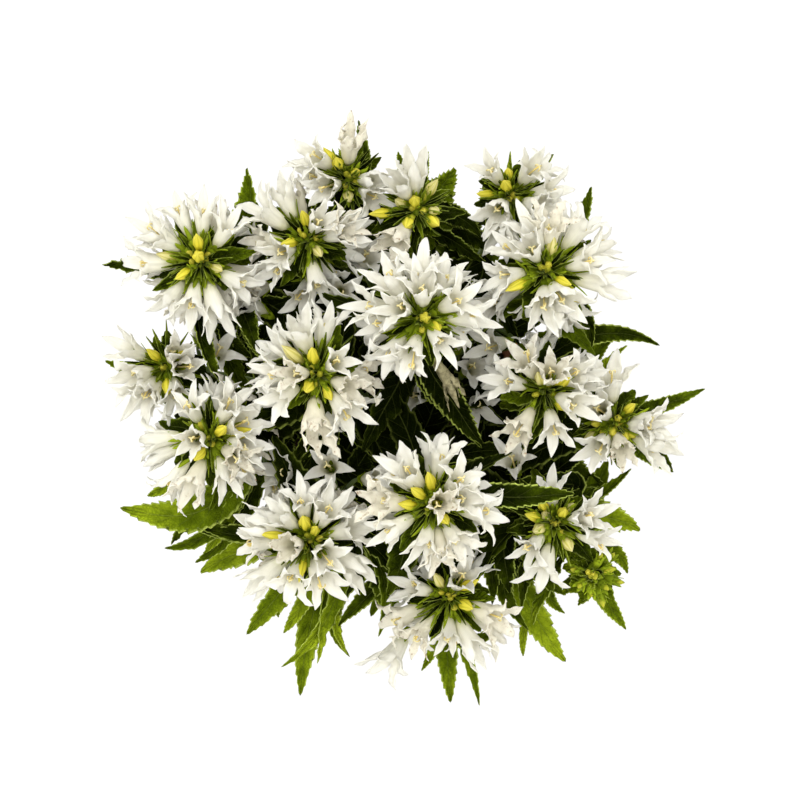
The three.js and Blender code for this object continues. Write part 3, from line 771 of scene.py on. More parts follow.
class Shader:
    """A node material with a few short ways to add nodes. Colours are tuples of red, green and blue."""

    def __init__(self, name):
        self.material = bpy.data.materials.new(name)
        self.material.use_nodes = True
        self.tree = self.material.node_tree
        self.tree.nodes.clear()

    def add(self, kind, inputs=(), **settings):
        node = self.tree.nodes.new(kind)
        for key, value in settings.items():
            setattr(node, key, value)
        for key, value in dict(inputs).items():
            self.give(node.inputs[key], value)
        return node

    def give(self, socket, value):
        if isinstance(value, bpy.types.NodeSocket):
            self.tree.links.new(value, socket)
        else:
            socket.default_value = (*value, 1) if isinstance(value, tuple) else value

    def math(self, operation, a, b=0.0, c=0.0, clamp=False):
        node = self.add("ShaderNodeMath", {0: a, 1: b, 2: c}, operation=operation, use_clamp=clamp)
        return node.outputs[0]

    def times(self, a, b):
        return self.math("MULTIPLY", a, b)

    def plus(self, a, b, clamp=False):
        return self.math("ADD", a, b, clamp=clamp)

    def mix(self, factor, a, b):
        node = self.add("ShaderNodeMix", data_type="RGBA")
        self.give(node.inputs[0], factor)
        self.give(node.inputs[6], a)
        self.give(node.inputs[7], b)
        return node.outputs[2]

    def tint(self, base, mask, share, colour):
        return self.mix(self.times(mask, share), base, colour)

    def ramp(self, factor, *stops):
        node = self.add("ShaderNodeValToRGB", {"Fac": factor})
        points = node.color_ramp.elements
        while len(points) < len(stops):
            points.new(0.5)
        for point, (at, colour) in zip(points, stops):
            point.position = at
            point.color = (*colour, 1)
        return node.outputs["Color"]

    def fade(self, value, low, high):
        node = self.add("ShaderNodeMapRange", {0: value, 1: low, 2: high}, clamp=True)
        node.interpolation_type = "SMOOTHSTEP"
        return node.outputs[0]

    def split(self, label):
        attribute = self.add("ShaderNodeAttribute", attribute_name=label)
        return self.add("ShaderNodeSeparateXYZ", {0: attribute.outputs["Vector"]}).outputs

    def place(self):
        return self.add("ShaderNodeTexCoord").outputs["Object"]

    def noise(self, scale, detail=3.0, rough=0.5):
        inputs = {"Vector": self.place(), "Scale": scale, "Detail": detail, "Roughness": rough}
        return self.add("ShaderNodeTexNoise", inputs).outputs["Fac"]

    def bump(self, height, distance, strength=1.0):
        inputs = {"Height": height, "Distance": distance, "Strength": strength}
        return self.add("ShaderNodeBump", inputs).outputs["Normal"]

    def finish(self, colour, normal=None, rough=0.5, glow=None, through=0.0, **sockets):
        shader = self.add("ShaderNodeBsdfPrincipled", {"Base Color": colour, "Roughness": rough})
        for key, value in sockets.items():
            self.give(shader.inputs[key.replace("_", " ")], value)
        if normal is not None:
            self.give(shader.inputs["Normal"], normal)
        result = shader.outputs[0]
        if through:
            veil = self.add("ShaderNodeBsdfTranslucent", {"Color": glow})
            if normal is not None:
                self.give(veil.inputs["Normal"], normal)
            mixed = self.add("ShaderNodeMixShader", {0: through})
            self.give(mixed.inputs[1], result)
            self.give(mixed.inputs[2], veil.outputs[0])
            result = mixed.outputs[0]
        output = self.add("ShaderNodeOutputMaterial")
        self.give(output.inputs["Surface"], result)
        return self.material


def petal_material():
    m = Shader("petal")
    across, along = m.split("where")[:2]
    age = m.split("trait")[0]
    # Green-cream at the tube's foot is the flower's own colour. Painted light and shade: the petal is
    # lightest at the foot of the lobes, to lift the shade deep in the head, and darker towards the lobe
    # tips, to hold back the light they catch at the outline.
    base = m.ramp(along, (0.0, (0.60, 0.62, 0.24)), (0.14, (0.87, 0.85, 0.56)), (0.32, (0.95, 0.935, 0.81)),
                  (0.6, (0.93, 0.92, 0.855)), (1.0, (0.86, 0.855, 0.81)))
    base = m.tint(base, m.noise(160), 0.12, (0.76, 0.72, 0.56))
    distance = m.math("ABSOLUTE", across)
    veins = m.math("ABSOLUTE", m.math("SINE", m.times(across, 19.0)))
    lines = m.fade(veins, 0.0, 0.35)
    base = m.mix(m.math("MULTIPLY_ADD", lines, -0.2, 0.2), base, (0.62, 0.62, 0.44))
    # Painted shade in the crease along the middle of each lobe: darker and greener there.
    rib = m.fade(distance, 0.1, 0.0)
    base = m.tint(base, rib, 0.2, (0.60, 0.62, 0.38))
    old = m.fade(age, 0.62, 0.9)
    base = m.tint(base, old, 0.4, (0.82, 0.74, 0.52))
    worn = m.times(old, m.fade(along, 0.35, 1.0))
    spots = m.times(m.fade(m.noise(600, 5), 0.56, 0.68), worn)
    base = m.mix(spots, base, (0.30, 0.17, 0.06))
    dead = m.fade(age, 0.95, 0.99)
    streaks = m.mix(m.fade(m.noise(420, 5, 0.7), 0.35, 0.65), (0.10, 0.085, 0.02), (0.52, 0.46, 0.24))
    base = m.tint(base, dead, 0.9, streaks)
    height = m.plus(m.times(lines, 0.5), m.times(m.noise(900, 4), 0.6))
    glow = m.mix(m.times(dead, 0.9), (0.975, 0.955, 0.84), (0.22, 0.19, 0.06))
    return m.finish(base, m.bump(height, 0.0003), 0.5, glow, 0.32, Specular_IOR_Level=0.05)


def style_material():
    m = Shader("style")
    along = m.split("where")[1]
    base = m.ramp(along, (0.0, (0.76, 0.74, 0.46)), (0.5, (0.86, 0.76, 0.36)), (1.0, (0.86, 0.68, 0.20)))
    base = m.tint(base, m.noise(900), 0.4, (0.62, 0.44, 0.10))
    return m.finish(base, m.bump(m.noise(1500), 0.0001), 0.6, (0.8, 0.7, 0.3), 0.15)


def bud_material():
    m = Shader("bud")
    across, along = m.split("where")[:2]
    ripe = m.split("trait")[0]
    yellow = m.ramp(along, (0.0, (0.34, 0.40, 0.02)), (0.18, (0.86, 0.77, 0.03)), (1.0, (0.95, 0.87, 0.13)))
    green = m.ramp(along, (0.0, (0.14, 0.22, 0.015)), (0.5, (0.34, 0.42, 0.03)), (1.0, (0.56, 0.58, 0.05)))
    cream = m.ramp(along, (0.0, (0.45, 0.45, 0.16)), (0.4, (0.80, 0.75, 0.42)), (1.0, (0.84, 0.80, 0.56)))
    base = m.mix(m.fade(ripe, 0.2, 0.45), green, yellow)
    base = m.mix(m.fade(ripe, 0.75, 0.95), base, cream)
    # Painted shade in the grooves between the bud's five folds: darker olive there.
    folds = m.math("COSINE", m.times(across, 10 * math.pi))
    base = m.tint(base, m.fade(folds, -0.1, -1.0), 0.6, (0.46, 0.44, 0.02))
    base = m.tint(base, m.noise(700), 0.2, (0.66, 0.56, 0.04))
    height = m.plus(m.noise(900, 4), m.math("SINE", m.times(across, 120.0)))
    return m.finish(base, m.bump(height, 0.0001, 0.6), 0.5, (0.86, 0.77, 0.08), 0.28,
                    Specular_IOR_Level=0.2)


def calyx_material():
    m = Shader("calyx")
    vein = (0.38, 0.47, 0.05)
    across = m.split("where")[0]
    shade = m.split("trait")[0]
    mixed = m.plus(m.times(shade, 0.7), m.times(m.noise(300), 0.45))
    base = m.mix(mixed, (0.06, 0.095, 0.004), (0.36, 0.46, 0.02))
    rib = m.fade(m.math("ABSOLUTE", across), 0.22, 0.04)
    base = m.tint(base, rib, 0.45, vein)
    return m.finish(base, m.bump(m.noise(1200, 4), 0.0001), 0.5, vein, 0.12, Specular_IOR_Level=0.02)


def leaf_material():
    m = Shader("leaf")
    across, along, side = m.split("where")
    shade, tone = m.split("trait")[:2]
    distance = m.math("ABSOLUTE", across)
    cloudy = m.math("MULTIPLY_ADD", m.noise(110, 5, 0.6), 0.9, -0.52)
    # Painted shade: the blade is darker towards its midrib, as in the shade of its fold, lighter towards its
    # margin, and darker towards its foot, where it sits in the shade of the plant.
    painted_shade = m.times(m.math("POWER", distance, 2.0), 0.15)
    inner = m.times(m.fade(along, 0.85, 0.35), -0.22)
    painted_shade = m.plus(painted_shade, inner)
    mixed = m.plus(shade, m.plus(cloudy, painted_shade), clamp=True)
    base = m.ramp(mixed, (0.0, (0.004, 0.007, 0.0005)), (0.25, (0.017, 0.027, 0.001)),
                  (0.6, (0.11, 0.16, 0.004)), (1.0, (0.36, 0.46, 0.016)))
    slanted = m.math("SUBTRACT", along, m.times(distance, 0.16))
    bent = m.math("MULTIPLY_ADD", m.noise(120), 0.03, slanted)
    comb = m.math("ABSOLUTE", m.math("SINE", m.times(bent, 26.0)))
    side_veins = m.fade(comb, 0.22, 0.05)
    net = m.add("ShaderNodeTexVoronoi", {"Vector": m.place(), "Scale": 700.0}, feature="DISTANCE_TO_EDGE")
    net = m.fade(net.outputs["Distance"], 0.14, 0.0)
    middle_rib = m.fade(distance, 0.07, 0.02)
    pale = m.mix(0.14, base, (0.36, 0.44, 0.10))
    veins = m.math("MAXIMUM", middle_rib, m.times(side_veins, 0.5))
    veins = m.math("MAXIMUM", veins, m.times(net, 0.1))
    top = m.mix(veins, base, pale)
    # The pale margin is partly the blade's own paler rim and partly painted highlight where its wavy edge
    # catches the light; noise breaks it into stretches, and tone sets how strong it is.
    broken = m.fade(m.noise(260, 3), 0.22, 0.55)
    pale_rim_and_highlight = m.times(m.fade(distance, 0.84, 0.97), m.times(tone, broken))
    top = m.mix(m.times(pale_rim_and_highlight, 0.95), top, (0.52, 0.62, 0.12))
    below = m.mix(0.45, base, (0.22, 0.28, 0.06))
    below = m.mix(m.times(veins, 0.8), below, (0.36, 0.42, 0.14))
    base = m.mix(side, top, below)
    hollow = m.times(m.math("POWER", comb, 0.5), m.math("SUBTRACT", 1.0, middle_rib))
    height = m.plus(hollow, m.plus(m.times(net, -0.35), m.times(m.noise(420, 4), 0.5)))
    lit = m.mix(0.12, base, (0.36, 0.44, 0.01))
    return m.finish(base, m.bump(height, 0.0009), 0.5, lit, 0.15, Specular_IOR_Level=0.0)


def stem_material():
    m = Shader("stem")
    across, along = m.split("where")[:2]
    green = m.mix(m.noise(200, 4), (0.07, 0.12, 0.012), (0.17, 0.23, 0.035))
    base = m.mix(m.times(m.fade(along, 0.3, 0.0), 0.5), green, (0.20, 0.10, 0.05))
    fibre = m.math("SINE", m.times(across, 2 * math.pi * 14))
    height = m.plus(m.times(fibre, 0.5), m.noise(1200, 4))
    return m.finish(base, m.bump(height, 0.0002), 0.5, (0.2, 0.3, 0.05), 0.05)


def clay_material():
    m = Shader("clay")
    base = m.mix(m.noise(18, 6, 0.6), (0.29, 0.105, 0.05), (0.42, 0.175, 0.09))
    base = m.mix(m.fade(m.noise(900, 3), 0.62, 0.75), base, (0.20, 0.075, 0.035))
    height_z = m.add("ShaderNodeSeparateXYZ", {0: m.place()}).outputs[2]
    bloom = m.times(m.fade(m.noise(30, 6, 0.65), 0.5, 0.72), m.fade(height_z, 0.06, 0.0))
    rim_bloom = m.times(m.fade(m.noise(40, 6, 0.65), 0.5, 0.7), m.fade(height_z, 0.085, 0.118))
    salt = m.math("MAXIMUM", bloom, m.times(rim_bloom, 0.6))
    base = m.tint(base, salt, 0.5, (0.52, 0.42, 0.34))
    rings = m.math("SINE", m.math("MULTIPLY_ADD", height_z, 2600.0, m.times(m.noise(25), 5.0)))
    height = m.plus(m.times(rings, 0.25), m.plus(m.noise(1500, 5), m.noise(250, 4)))
    return m.finish(base, m.bump(height, 0.00025), 0.88, Specular_IOR_Level=0.25)


def soil_material():
    m = Shader("compost")
    base = m.mix(m.noise(220, 6, 0.7), (0.012, 0.007, 0.004), (0.075, 0.045, 0.026))
    fibres = m.fade(m.noise(1400, 4, 0.8), 0.62, 0.72)
    base = m.tint(base, fibres, 0.6, (0.16, 0.10, 0.06))
    return m.finish(base, m.bump(m.noise(700, 6, 0.75), 0.0012), 0.95, Specular_IOR_Level=0.2)


def floor_material():
    m = Shader("floor")
    base = m.mix(m.noise(3), (0.19, 0.19, 0.19), (0.21, 0.21, 0.21))
    return m.finish(base, None, 0.8, Specular_IOR_Level=0.1, Emission_Color=(1.0, 1.0, 1.0),
                    Emission_Strength=0.75)


PETAL = petal_material()
STYLE_LOOK = style_material()
BUD_LOOK = bud_material()
CALYX_LOOK = calyx_material()
LEAF_LOOK = leaf_material()
STEM_LOOK = stem_material()
CLAY_LOOK = clay_material()
SOIL_LOOK = soil_material()

# Flower heads

# How far a flower, a bud and a lower flower reach, and how clear of the others a lower one has to be.
FLOWER_REACH = 26
BUD_REACH = 18
LOWER_REACH = 24
CLEARANCE = 6.2
ATTEMPTS = 90

BUD_DEPTH = 0.8
SHUT_SHARE = 0.13
SMALL_BUDS = 6
GOLDEN_TURN = 137.5

# For a head in flower and a head of green buds: how many narrow bracts it has, their lengths, how many times
# wider they are, the shades of its broad bracts, and the rings of those. A ring says how many, their rises,
# lengths and half widths, and how far below the middle of the head it starts.
OPEN_BRACTS = (32, (11.4, 19.4), 1, (0.2, 0.65),
               [(9, (-12, 20), (14, 22), (3.5, 5.0), 2), (7, (-30, -5), (14, 22), (5.0, 6.5), 17)])
GREEN_BRACTS = (14, (5.4, 9.4), 2, (0.4, 0.9),
                [(8, (0, 40), (7, 15), (3.5, 5.5), 5), (7, (-25, 5), (9, 15), (4.0, 6.0), 12)])


class Room:
    """Sample points of what has been placed, to keep later flowers clear of it."""

    def __init__(self):
        self.points = np.zeros((0, 3))

    def take(self, feet, up, length):
        s = np.array([0.25, 0.5, 0.75, 1.0])
        more = spokes(feet, up, length * s)
        self.points = np.concatenate([self.points, more.reshape(-1, 3)])

    def gap(self, foot, up, length):
        probe = foot + up * length * np.array([[0.45], [0.75], [1.0]])
        return np.linalg.norm(self.points[None] - probe[:, None], axis=2).min()


room = Room()
flowers = {}
for name, plan in HEADS.items():
    at = plan["at"]
    if plan["bells"]:
        up = ways(plan["bells"])
        up = unit(up + rng.normal(0, 0.075, up.shape))
        flowers[name] = (at + up * KNOT * 0.85, up)
        room.take(*flowers[name], FLOWER_REACH)
    up = ways(plan["buds"])
    room.take(at + up * KNOT * BUD_DEPTH, up, BUD_REACH)

# Lower flowers fill in between and below those of the plan, wherever there is room.
for name, plan in HEADS.items():
    at = plan["at"]
    found = 0
    for _ in range(ATTEMPTS):
        if found >= plan.get("lower", 0):
            break
        up = ways([rng.uniform(0, 360), rng.uniform(-8, 24)])
        foot = at + up * KNOT * 0.45 - [0, 0, rng.uniform(4, 12)]
        if room.gap(foot[0], up[0], LOWER_REACH) < CLEARANCE:
            continue
        flowers[name] = tuple(np.vstack(pair) for pair in zip(flowers[name], (foot, up)))
        room.take(foot, up, LOWER_REACH)
        found += 1


def build_flowers(name, plan, greens):
    """The flowers of a head. Their calyces go into greens."""
    feet, up = flowers[name]
    n = len(feet)
    spin = rng.uniform(0, 2 * np.pi, n)
    late = 1 + 1.2 * np.clip((up[:, 2] - 0.75) / 0.2, 0, 1)
    spread = rng.uniform(0.75, 2.0, n)
    shut = rng.uniform(0, 1, n) < SHUT_SHARE
    spread[shut] = rng.uniform(0.2, 0.5, n)[shut]
    spread[plan.get("closed", [])] = 0.16
    size = rng.uniform(0.86, 1.1, n) * np.where(np.arange(n) < len(plan["bells"]), 1, 0.9)
    age = rng.uniform(0, 1, n) ** 1.9 * 0.92
    age[shut] = rng.uniform(0.5, 0.92, n)[shut]
    trait = traits(age)
    petals = Pile()
    corollas(petals, feet + up * 2.5, up, spin, spread, late, size, trait)
    petals.build(f"corollas_{name}", PETAL, "petal", f"flower_head_{name}")
    shade = traits(rng.uniform(0.2, 0.9, n))
    length, hug = rng.uniform(7.5, 10.5, n), rng.uniform(0.15, 0.45, n)
    sepals(greens, feet + up * 1.5, up, spin, length, hug, shade)
    cups(greens, feet + up * 3.0, up, shade)
    wide = spread > 0.5
    if wide.any():
        yellows = Pile()
        styles(yellows, feet[wide] + up[wide] * 3, up[wide], spin[wide], size[wide], trait[wide])
        yellows.build(f"styles_{name}", STYLE_LOOK, "bud")


def build_buds(name, plan, greens):
    """The buds of a head, with small ones between them. The calyces of the larger ones go into greens."""
    at = plan["at"]
    up = ways(plan["buds"])
    n = len(up)
    feet = at + up * KNOT * BUD_DEPTH
    if plan["bells"]:
        length = np.where(np.arange(n) < 2, rng.uniform(15, 19, n), rng.uniform(10, 15, n))
        ripe = rng.choice([0.5, 0.6, 0.65, 0.72, 0.88], n)
        nodes, sepal_size = [], 1
    else:
        length = rng.uniform(3, 5.5, n)
        ripe = rng.uniform(0.0, 0.15, n)
        nodes, sepal_size = [f"bud_head_{name}"], 0.5
    trait = traits(ripe)
    length = length * plan.get("bud_size", 1.0)
    closed = Pile()
    buds(closed, feet + up * 3, up, length, np.minimum(rng.uniform(2.0, 2.7, n), length * 0.27), trait)

    small = unit(rising(rng.uniform(0, 360, SMALL_BUDS), 55, 90))
    tiny = at + small * KNOT * rng.uniform(0.7, 0.95, (SMALL_BUDS, 1))
    trait = traits(rng.uniform(0.22, 0.65, SMALL_BUDS))
    length, girth = rng.uniform(4, 7.5, SMALL_BUDS), rng.uniform(1.2, 1.7, SMALL_BUDS)
    buds(closed, tiny, small, length, girth, trait, BUDLET)
    closed.build(f"buds_{name}", BUD_LOOK, "bud", *nodes)

    shade = traits(rng.uniform(0.1, 0.9, n))
    spin, length, hug = rng.uniform(0, 6, n), rng.uniform(6, 9, n) * sepal_size, rng.uniform(0.1, 0.3, n)
    sepals(greens, feet + up * 2.5, up, spin, length, hug, shade)
    cups(greens, feet + up * 3.5, up, shade)


def build_bracts(name, plan):
    """Narrow bracts between the flowers, then two rings of broad ones: one round the head, one below."""
    at = plan["at"]
    size = plan.get("bract_size", 1.0)
    n, lengths, wider, shades, rings = OPEN_BRACTS if plan["bells"] else GREEN_BRACTS
    bracts = Pile()
    up = rising(np.arange(n) * GOLDEN_TURN + rng.uniform(0, 360), 25, 85)
    start = at + up * KNOT * 0.42
    tip = start + up * rng.uniform(*lengths, (n, 1))
    leaves(bracts, start, (start + tip) / 2 + [0, 0, 1.5], tip, rng.uniform(0.55, 1.1, n) * wider,
           rng.normal(0, 15, n), rng.uniform(0.2, 1.0, n), NEEDLE, stalk=0.02, ruffle=0.6)
    for n, rises, lengths, halves, below in rings:
        up = rising(np.arange(n) * 360 / n + rng.uniform(-15, 15, n), *rises)
        start = at - [0, 0, below] + up * [4, 4, 2]
        tip = start + up * rng.uniform(*lengths, (n, 1)) * size
        shade = rng.uniform(*shades, n)
        leaves(bracts, start, (start + tip) / 2 + [0, 0, 4], tip, rng.uniform(*halves, n) * size,
               rng.normal(0, 20, n), shade, BRACT, stalk=0.03, shape=BROAD, edge=(0.3, 0.9))
    bracts.build(f"bracts_{name}", LEAF_LOOK, "leaf")


for name, plan in HEADS.items():
    greens = Pile()
    if name in flowers:
        build_flowers(name, plan, greens)
    build_buds(name, plan, greens)
    cores(greens, plan["at"])
    greens.build(f"calyces_{name}", CALYX_LOOK, "stem")
    build_bracts(name, plan)

# Stems and leaves

STEM = tube_form(30, 14)
BRANCH = tube_form(12, 8)
STEM_STEPS = np.linspace(0.15, 0.93, 79)
STEM_RADII = (2.6, 1.9)
SHOOT_RADII = (1.3, 0.9)
PLAIN = [[0.5, 0.5, 0.5]]

# The shortest and the longest reach that cost a small leaf nothing, and how far below its start its tip
# may hang.
LEAF_LENGTHS = (22, 60)
MOST_DROP = 14

# Ranges for the paleness of a blade's margin, partly a paler rim and partly painted highlight, and the shade
# up to which a small leaf, painted dark for the shade it sits in, has a dark one.
PALE_EDGE = (0.8, 1.1)
DARK_EDGE = (0, 0.2)
DARK_SHADE = 0.08

STEM_LEAVES = 7
STEM_LEAF_REACH = 98
LOW_LEAVES = 24

branches = {name: Pile() for name in HEADS}
foliage = {name: Pile() for name in HEADS}


def nearest_stem(foot, tip):
    """The stem, and the place on it, that a leaf through foot to tip can grow from."""
    best = None
    for name in HEADS:
        line = stem_line(name, STEM_STEPS)
        away = np.linalg.norm(line[:, :2] - foot, axis=1) + 0.25 * np.abs(line[:, 2] - tip[2])
        away[line[:, 2] > tip[2] + MOST_DROP] = np.inf
        k = away.argmin()
        reach, sight = tip[:2] - line[k, :2], tip[:2] - foot
        length = np.linalg.norm(reach)
        turned = 1 - np.dot(reach, sight) / (length * np.linalg.norm(sight) + 1e-9)
        cost = 0.5 * away[k] + 60 * turned + 2 * max(0, LEAF_LENGTHS[0] - length)
        cost += max(0, length - LEAF_LENGTHS[1])
        if best is None or cost < best[0]:
            best = (cost, name, STEM_STEPS[k])
    return best[1:]


def arched(start, tip, arch):
    """The middle control point of a leaf that rises by arch."""
    return start + (tip - start) * 0.45 + [0, 0, arch]


def stem_leaf(name, t, foot, tip, half, arch, shade, roll, **rest):
    """A leaf from a stem to its tip, bent in plan so that it passes over foot on the way."""
    root, along = stem_point(name, t)
    foot, tip = np.array(foot, float), np.array(tip, float)
    out = (tip - root) * [1, 1, 0]
    out = unit(out - along * np.dot(out, along))
    start = root + out * (STEM_RADIUS * 0.6)
    before, after = np.linalg.norm(foot - start[:2]), np.linalg.norm(tip[:2] - foot)
    s = np.clip(before / (before + after), 0.3, 0.7)
    middle = arched(start, tip, arch)
    middle[:2] = (foot - (1 - s) ** 2 * start[:2] - s ** 2 * tip[:2]) / (2 * s * (1 - s))
    leaves(foliage[name], start, middle, tip, half, roll, shade, **rest)


for _, name, t, *blade in LEAVES:
    stem_leaf(name, t, *blade, ruffle=1.6, edge=PALE_EDGE)
# Small leaves with low shades are painted dark for the shade in the gaps between the heads: painted shade.
for *place, half, arch, shade, roll in SMALL_LEAVES:
    foot, tip = np.array(place[:2], float), np.array(place[2:], float)
    name, t = nearest_stem(foot, tip)
    edge = PALE_EDGE if shade > DARK_SHADE else DARK_EDGE
    stem_leaf(name, t, foot, tip, half, arch, shade + 0.16, roll, ruffle=1.8, edge=edge)

for name, plan in HEADS.items():
    heights = np.linspace(0.14, 0.8, STEM_LEAVES) + rng.uniform(-0.04, 0.04, STEM_LEAVES)
    outward = math.degrees(math.atan2(plan["at"][1], plan["at"][0]))
    turns = outward + np.arange(STEM_LEAVES) * GOLDEN_TURN + rng.uniform(0, 360)
    for t, turn in zip(heights, turns):
        root, along = stem_point(name, t)
        aim = ways([turn, rng.uniform(-5, 25)])[0]
        out = aim - along * np.dot(aim, along)
        start = root + unit(out) * STEM_RADIUS * 0.6
        long = np.interp(t, [0.1, 0.5, 0.9], [52, 58, 42]) * rng.uniform(0.85, 1.1)
        tip = start + aim * long
        reach = np.hypot(tip[0], tip[1])
        if reach > STEM_LEAF_REACH:
            tip[:2] *= STEM_LEAF_REACH / reach
        middle = arched(start, tip, rng.uniform(5, 12))
        half = long * rng.uniform(0.1, 0.16)
        # Painted light and shade: a leaf that reaches further out from the middle is painted brighter, one
        # inside darker.
        shade = rng.uniform(0.06, 0.28) + 0.5 * np.clip((np.hypot(tip[0], tip[1]) - 60) / 50, 0, 1)
        leaves(foliage[name], start, middle, tip, half * 1.2, rng.normal(0, 25), shade, HIDDEN,
               shape=BROAD, edge=(0, 0.5))

# Low leaves hang over the rim of the pot.
for turn in np.arange(LOW_LEAVES) * 360 / LOW_LEAVES + rng.uniform(-6, 6, LOW_LEAVES):
    aim = ways([turn, 0])[0]
    name = max(HEADS, key=lambda key: np.dot(unit(HEADS[key]["at"][:2]), aim[:2]))
    root, along = stem_point(name, rng.uniform(0.2, 0.42))
    tip = aim * rng.uniform(74, 94) + [0, 0, root[2] + rng.uniform(-6, 12)]
    start = root + aim * STEM_RADIUS * 0.6
    middle = arched(start, tip, rng.uniform(8, 16))
    leaves(foliage[name], start, middle, tip, rng.uniform(6, 8.5), rng.normal(0, 15),
           rng.uniform(0.1, 0.4), HIDDEN, shape=BROAD, edge=(0.2, 0.8))


def away_from(place, name, steps):
    """How far the points of a stem are from a place."""
    return np.linalg.norm(stem_line(name, steps) - place, axis=1)


ALL_STEPS = np.linspace(0, 1, 30)
SHOOT_STEPS = np.linspace(0.1, 0.95, 40)
side_petals, side_greens, side_yellows = Pile(), Pile(), Pile()
for foot, aim in SIDE_FLOWERS:
    foot = np.array(foot, float)
    up = ways([aim])
    near = min(HEADS, key=lambda name: away_from(foot - [0, 0, 18], name, ALL_STEPS).min())
    root = stem_line(near, SHOOT_STEPS)[away_from(foot - [0, 0, 25], near, SHOOT_STEPS).argmin()]
    controls = [root, root + [0, 0, 8] + (foot - root) * 0.3, foot - up[0] * 8, foot]
    stalk = bezier([controls], np.linspace(0, 1, BRANCH.rows + 1))
    helper = unit(np.cross((foot - root) + [0.1, 0, 0], UP))[None]
    branches[near].sweep(BRANCH, stalk, np.linspace(*SHOOT_RADII, BRANCH.rows + 1), helper, PLAIN)
    spin = rng.uniform(0, 6.28, 1)
    spread = rng.uniform(0.9, 1.6, 1)
    size = rng.uniform(0.9, 1.05, 1)
    trait = rng.uniform(0, 0.6, (1, 3))
    corollas(side_petals, foot[None] + up * 2.5, up, spin, spread, np.ones(1), size, trait)
    sepals(side_greens, foot[None] + up * 1.5, up, spin, np.array([8.5]), np.array([0.3]), trait)
    cups(side_greens, foot[None] + up * 3, up, trait, 5.0)
    styles(side_yellows, foot[None] + up * 3, up, spin, size, trait)

# One withered flower hangs below the middle head.
dry = ways([313, -12])
foot = HEADS["07"]["at"] + [[4.0, -16.0, -7.0]]
one = np.ones(1)
corollas(side_petals, foot, dry, 0 * one, 0.05 * one, one, one, [[1.0, 0.5, 0.5]], pinch=0.65)
side_petals.build("corollas_on_side_shoots", PETAL, "petal")
side_greens.build("calyces_on_side_shoots", CALYX_LOOK, "stem")
side_yellows.build("styles_on_side_shoots", STYLE_LOOK, "bud")

for name, plan in HEADS.items():
    helper = np.cross(UP, unit(plan["at"] * [1, 1, 0]))
    line = stem_line(name, np.linspace(0, 1, STEM.rows + 1))
    line[0, 2] -= 1.5
    wobble = np.sin(np.linspace(0, 9, STEM.rows + 1) + rng.uniform(0, 6))[:, None] * 0.35 * helper
    branches[name].sweep(STEM, (line + wobble)[None], np.linspace(*STEM_RADII, STEM.rows + 1),
                         helper[None], PLAIN, ribs=5, rib_depth=0.07, turn=1.2)
    branches[name].build(f"stem_and_shoots_{name}", STEM_LOOK, "stem", f"stem_{name}")
    nodes = [f"leaf_{leaf[0]}" for leaf in LEAVES if leaf[1] == name]
    foliage[name].build(f"foliage_{name}", LEAF_LOOK, "leaf", *nodes)

# Pot and soil

POT_OUTLINE = [(9, 0), (49, 0), (62.2, 91), (65.4, 92.5), (67, 120), (60.5, 120), (42.6, 8), (9, 8)]
POT_COLS = 144
SOIL_ROWS, SOIL_COLS = 40, 120
SOIL_RADIUS = 57.6
# The soil's side and underside, inside the pot: a share of its radius and a height.
SOIL_RINGS = ((0.985, 88.0), (0.75, 9.0))
CRUMB = tube_form(4, 6)
CRUMB_SHAPE = np.array([0.25, 0.75, 0.9, 0.7, 0.2])
CRUMBS = 380
CRUMB_REACH = 56
NO_TRAIT = [[0, 0, 0]]


def lathe(pile, profile, cols, wobble):
    """A closed ring-shaped solid: the profile (r, z) is a closed loop turned round the axis."""
    rows = len(profile)
    quads, cell = ring_quads(rows, cols, rows)
    angle = 2 * np.pi * np.arange(cols) / cols
    r, z = np.array(profile).T
    ring = r[:, None] + wobble(angle[None], z[:, None])
    high = np.broadcast_to(z[:, None], ring.shape)
    points = np.stack([ring * np.cos(angle), ring * np.sin(angle), high], axis=2)
    pile.add(points.reshape(1, -1, 3), Form(quads, cell, np.zeros((rows * cols, 3))), NO_TRAIT)


def rounded(corners, radius=1.2, steps=4):
    """A closed profile with its corners rounded and its long sides cut in shorter ones."""
    made = []
    n = len(corners)
    for i in range(n):
        before, here, after = (np.array(corners[(i + d) % n], float) for d in (-1, 0, 1))
        into, out = here - before, after - here
        r = min(radius, 0.4 * np.linalg.norm(into), 0.4 * np.linalg.norm(out))
        a, b = here - unit(into) * r, here + unit(out) * r
        for s in np.linspace(0, 1, steps):
            made.append((1 - s) ** 2 * a + 2 * s * (1 - s) * here + s ** 2 * b)
        span = np.linalg.norm(out) - 2 * r
        for s in np.linspace(0, 1, max(int(span / 6), 1) + 1)[1:-1]:
            made.append(b + unit(out) * span * s)
    return made


pot = Pile()
lathe(pot, rounded(POT_OUTLINE), POT_COLS,
      lambda a, z: 0.18 * np.sin(3 * a + z / 30) + 0.1 * np.sin(7 * a + z / 11 + 1))
pot.build("clay_pot", CLAY_LOOK, "clay", "pot")

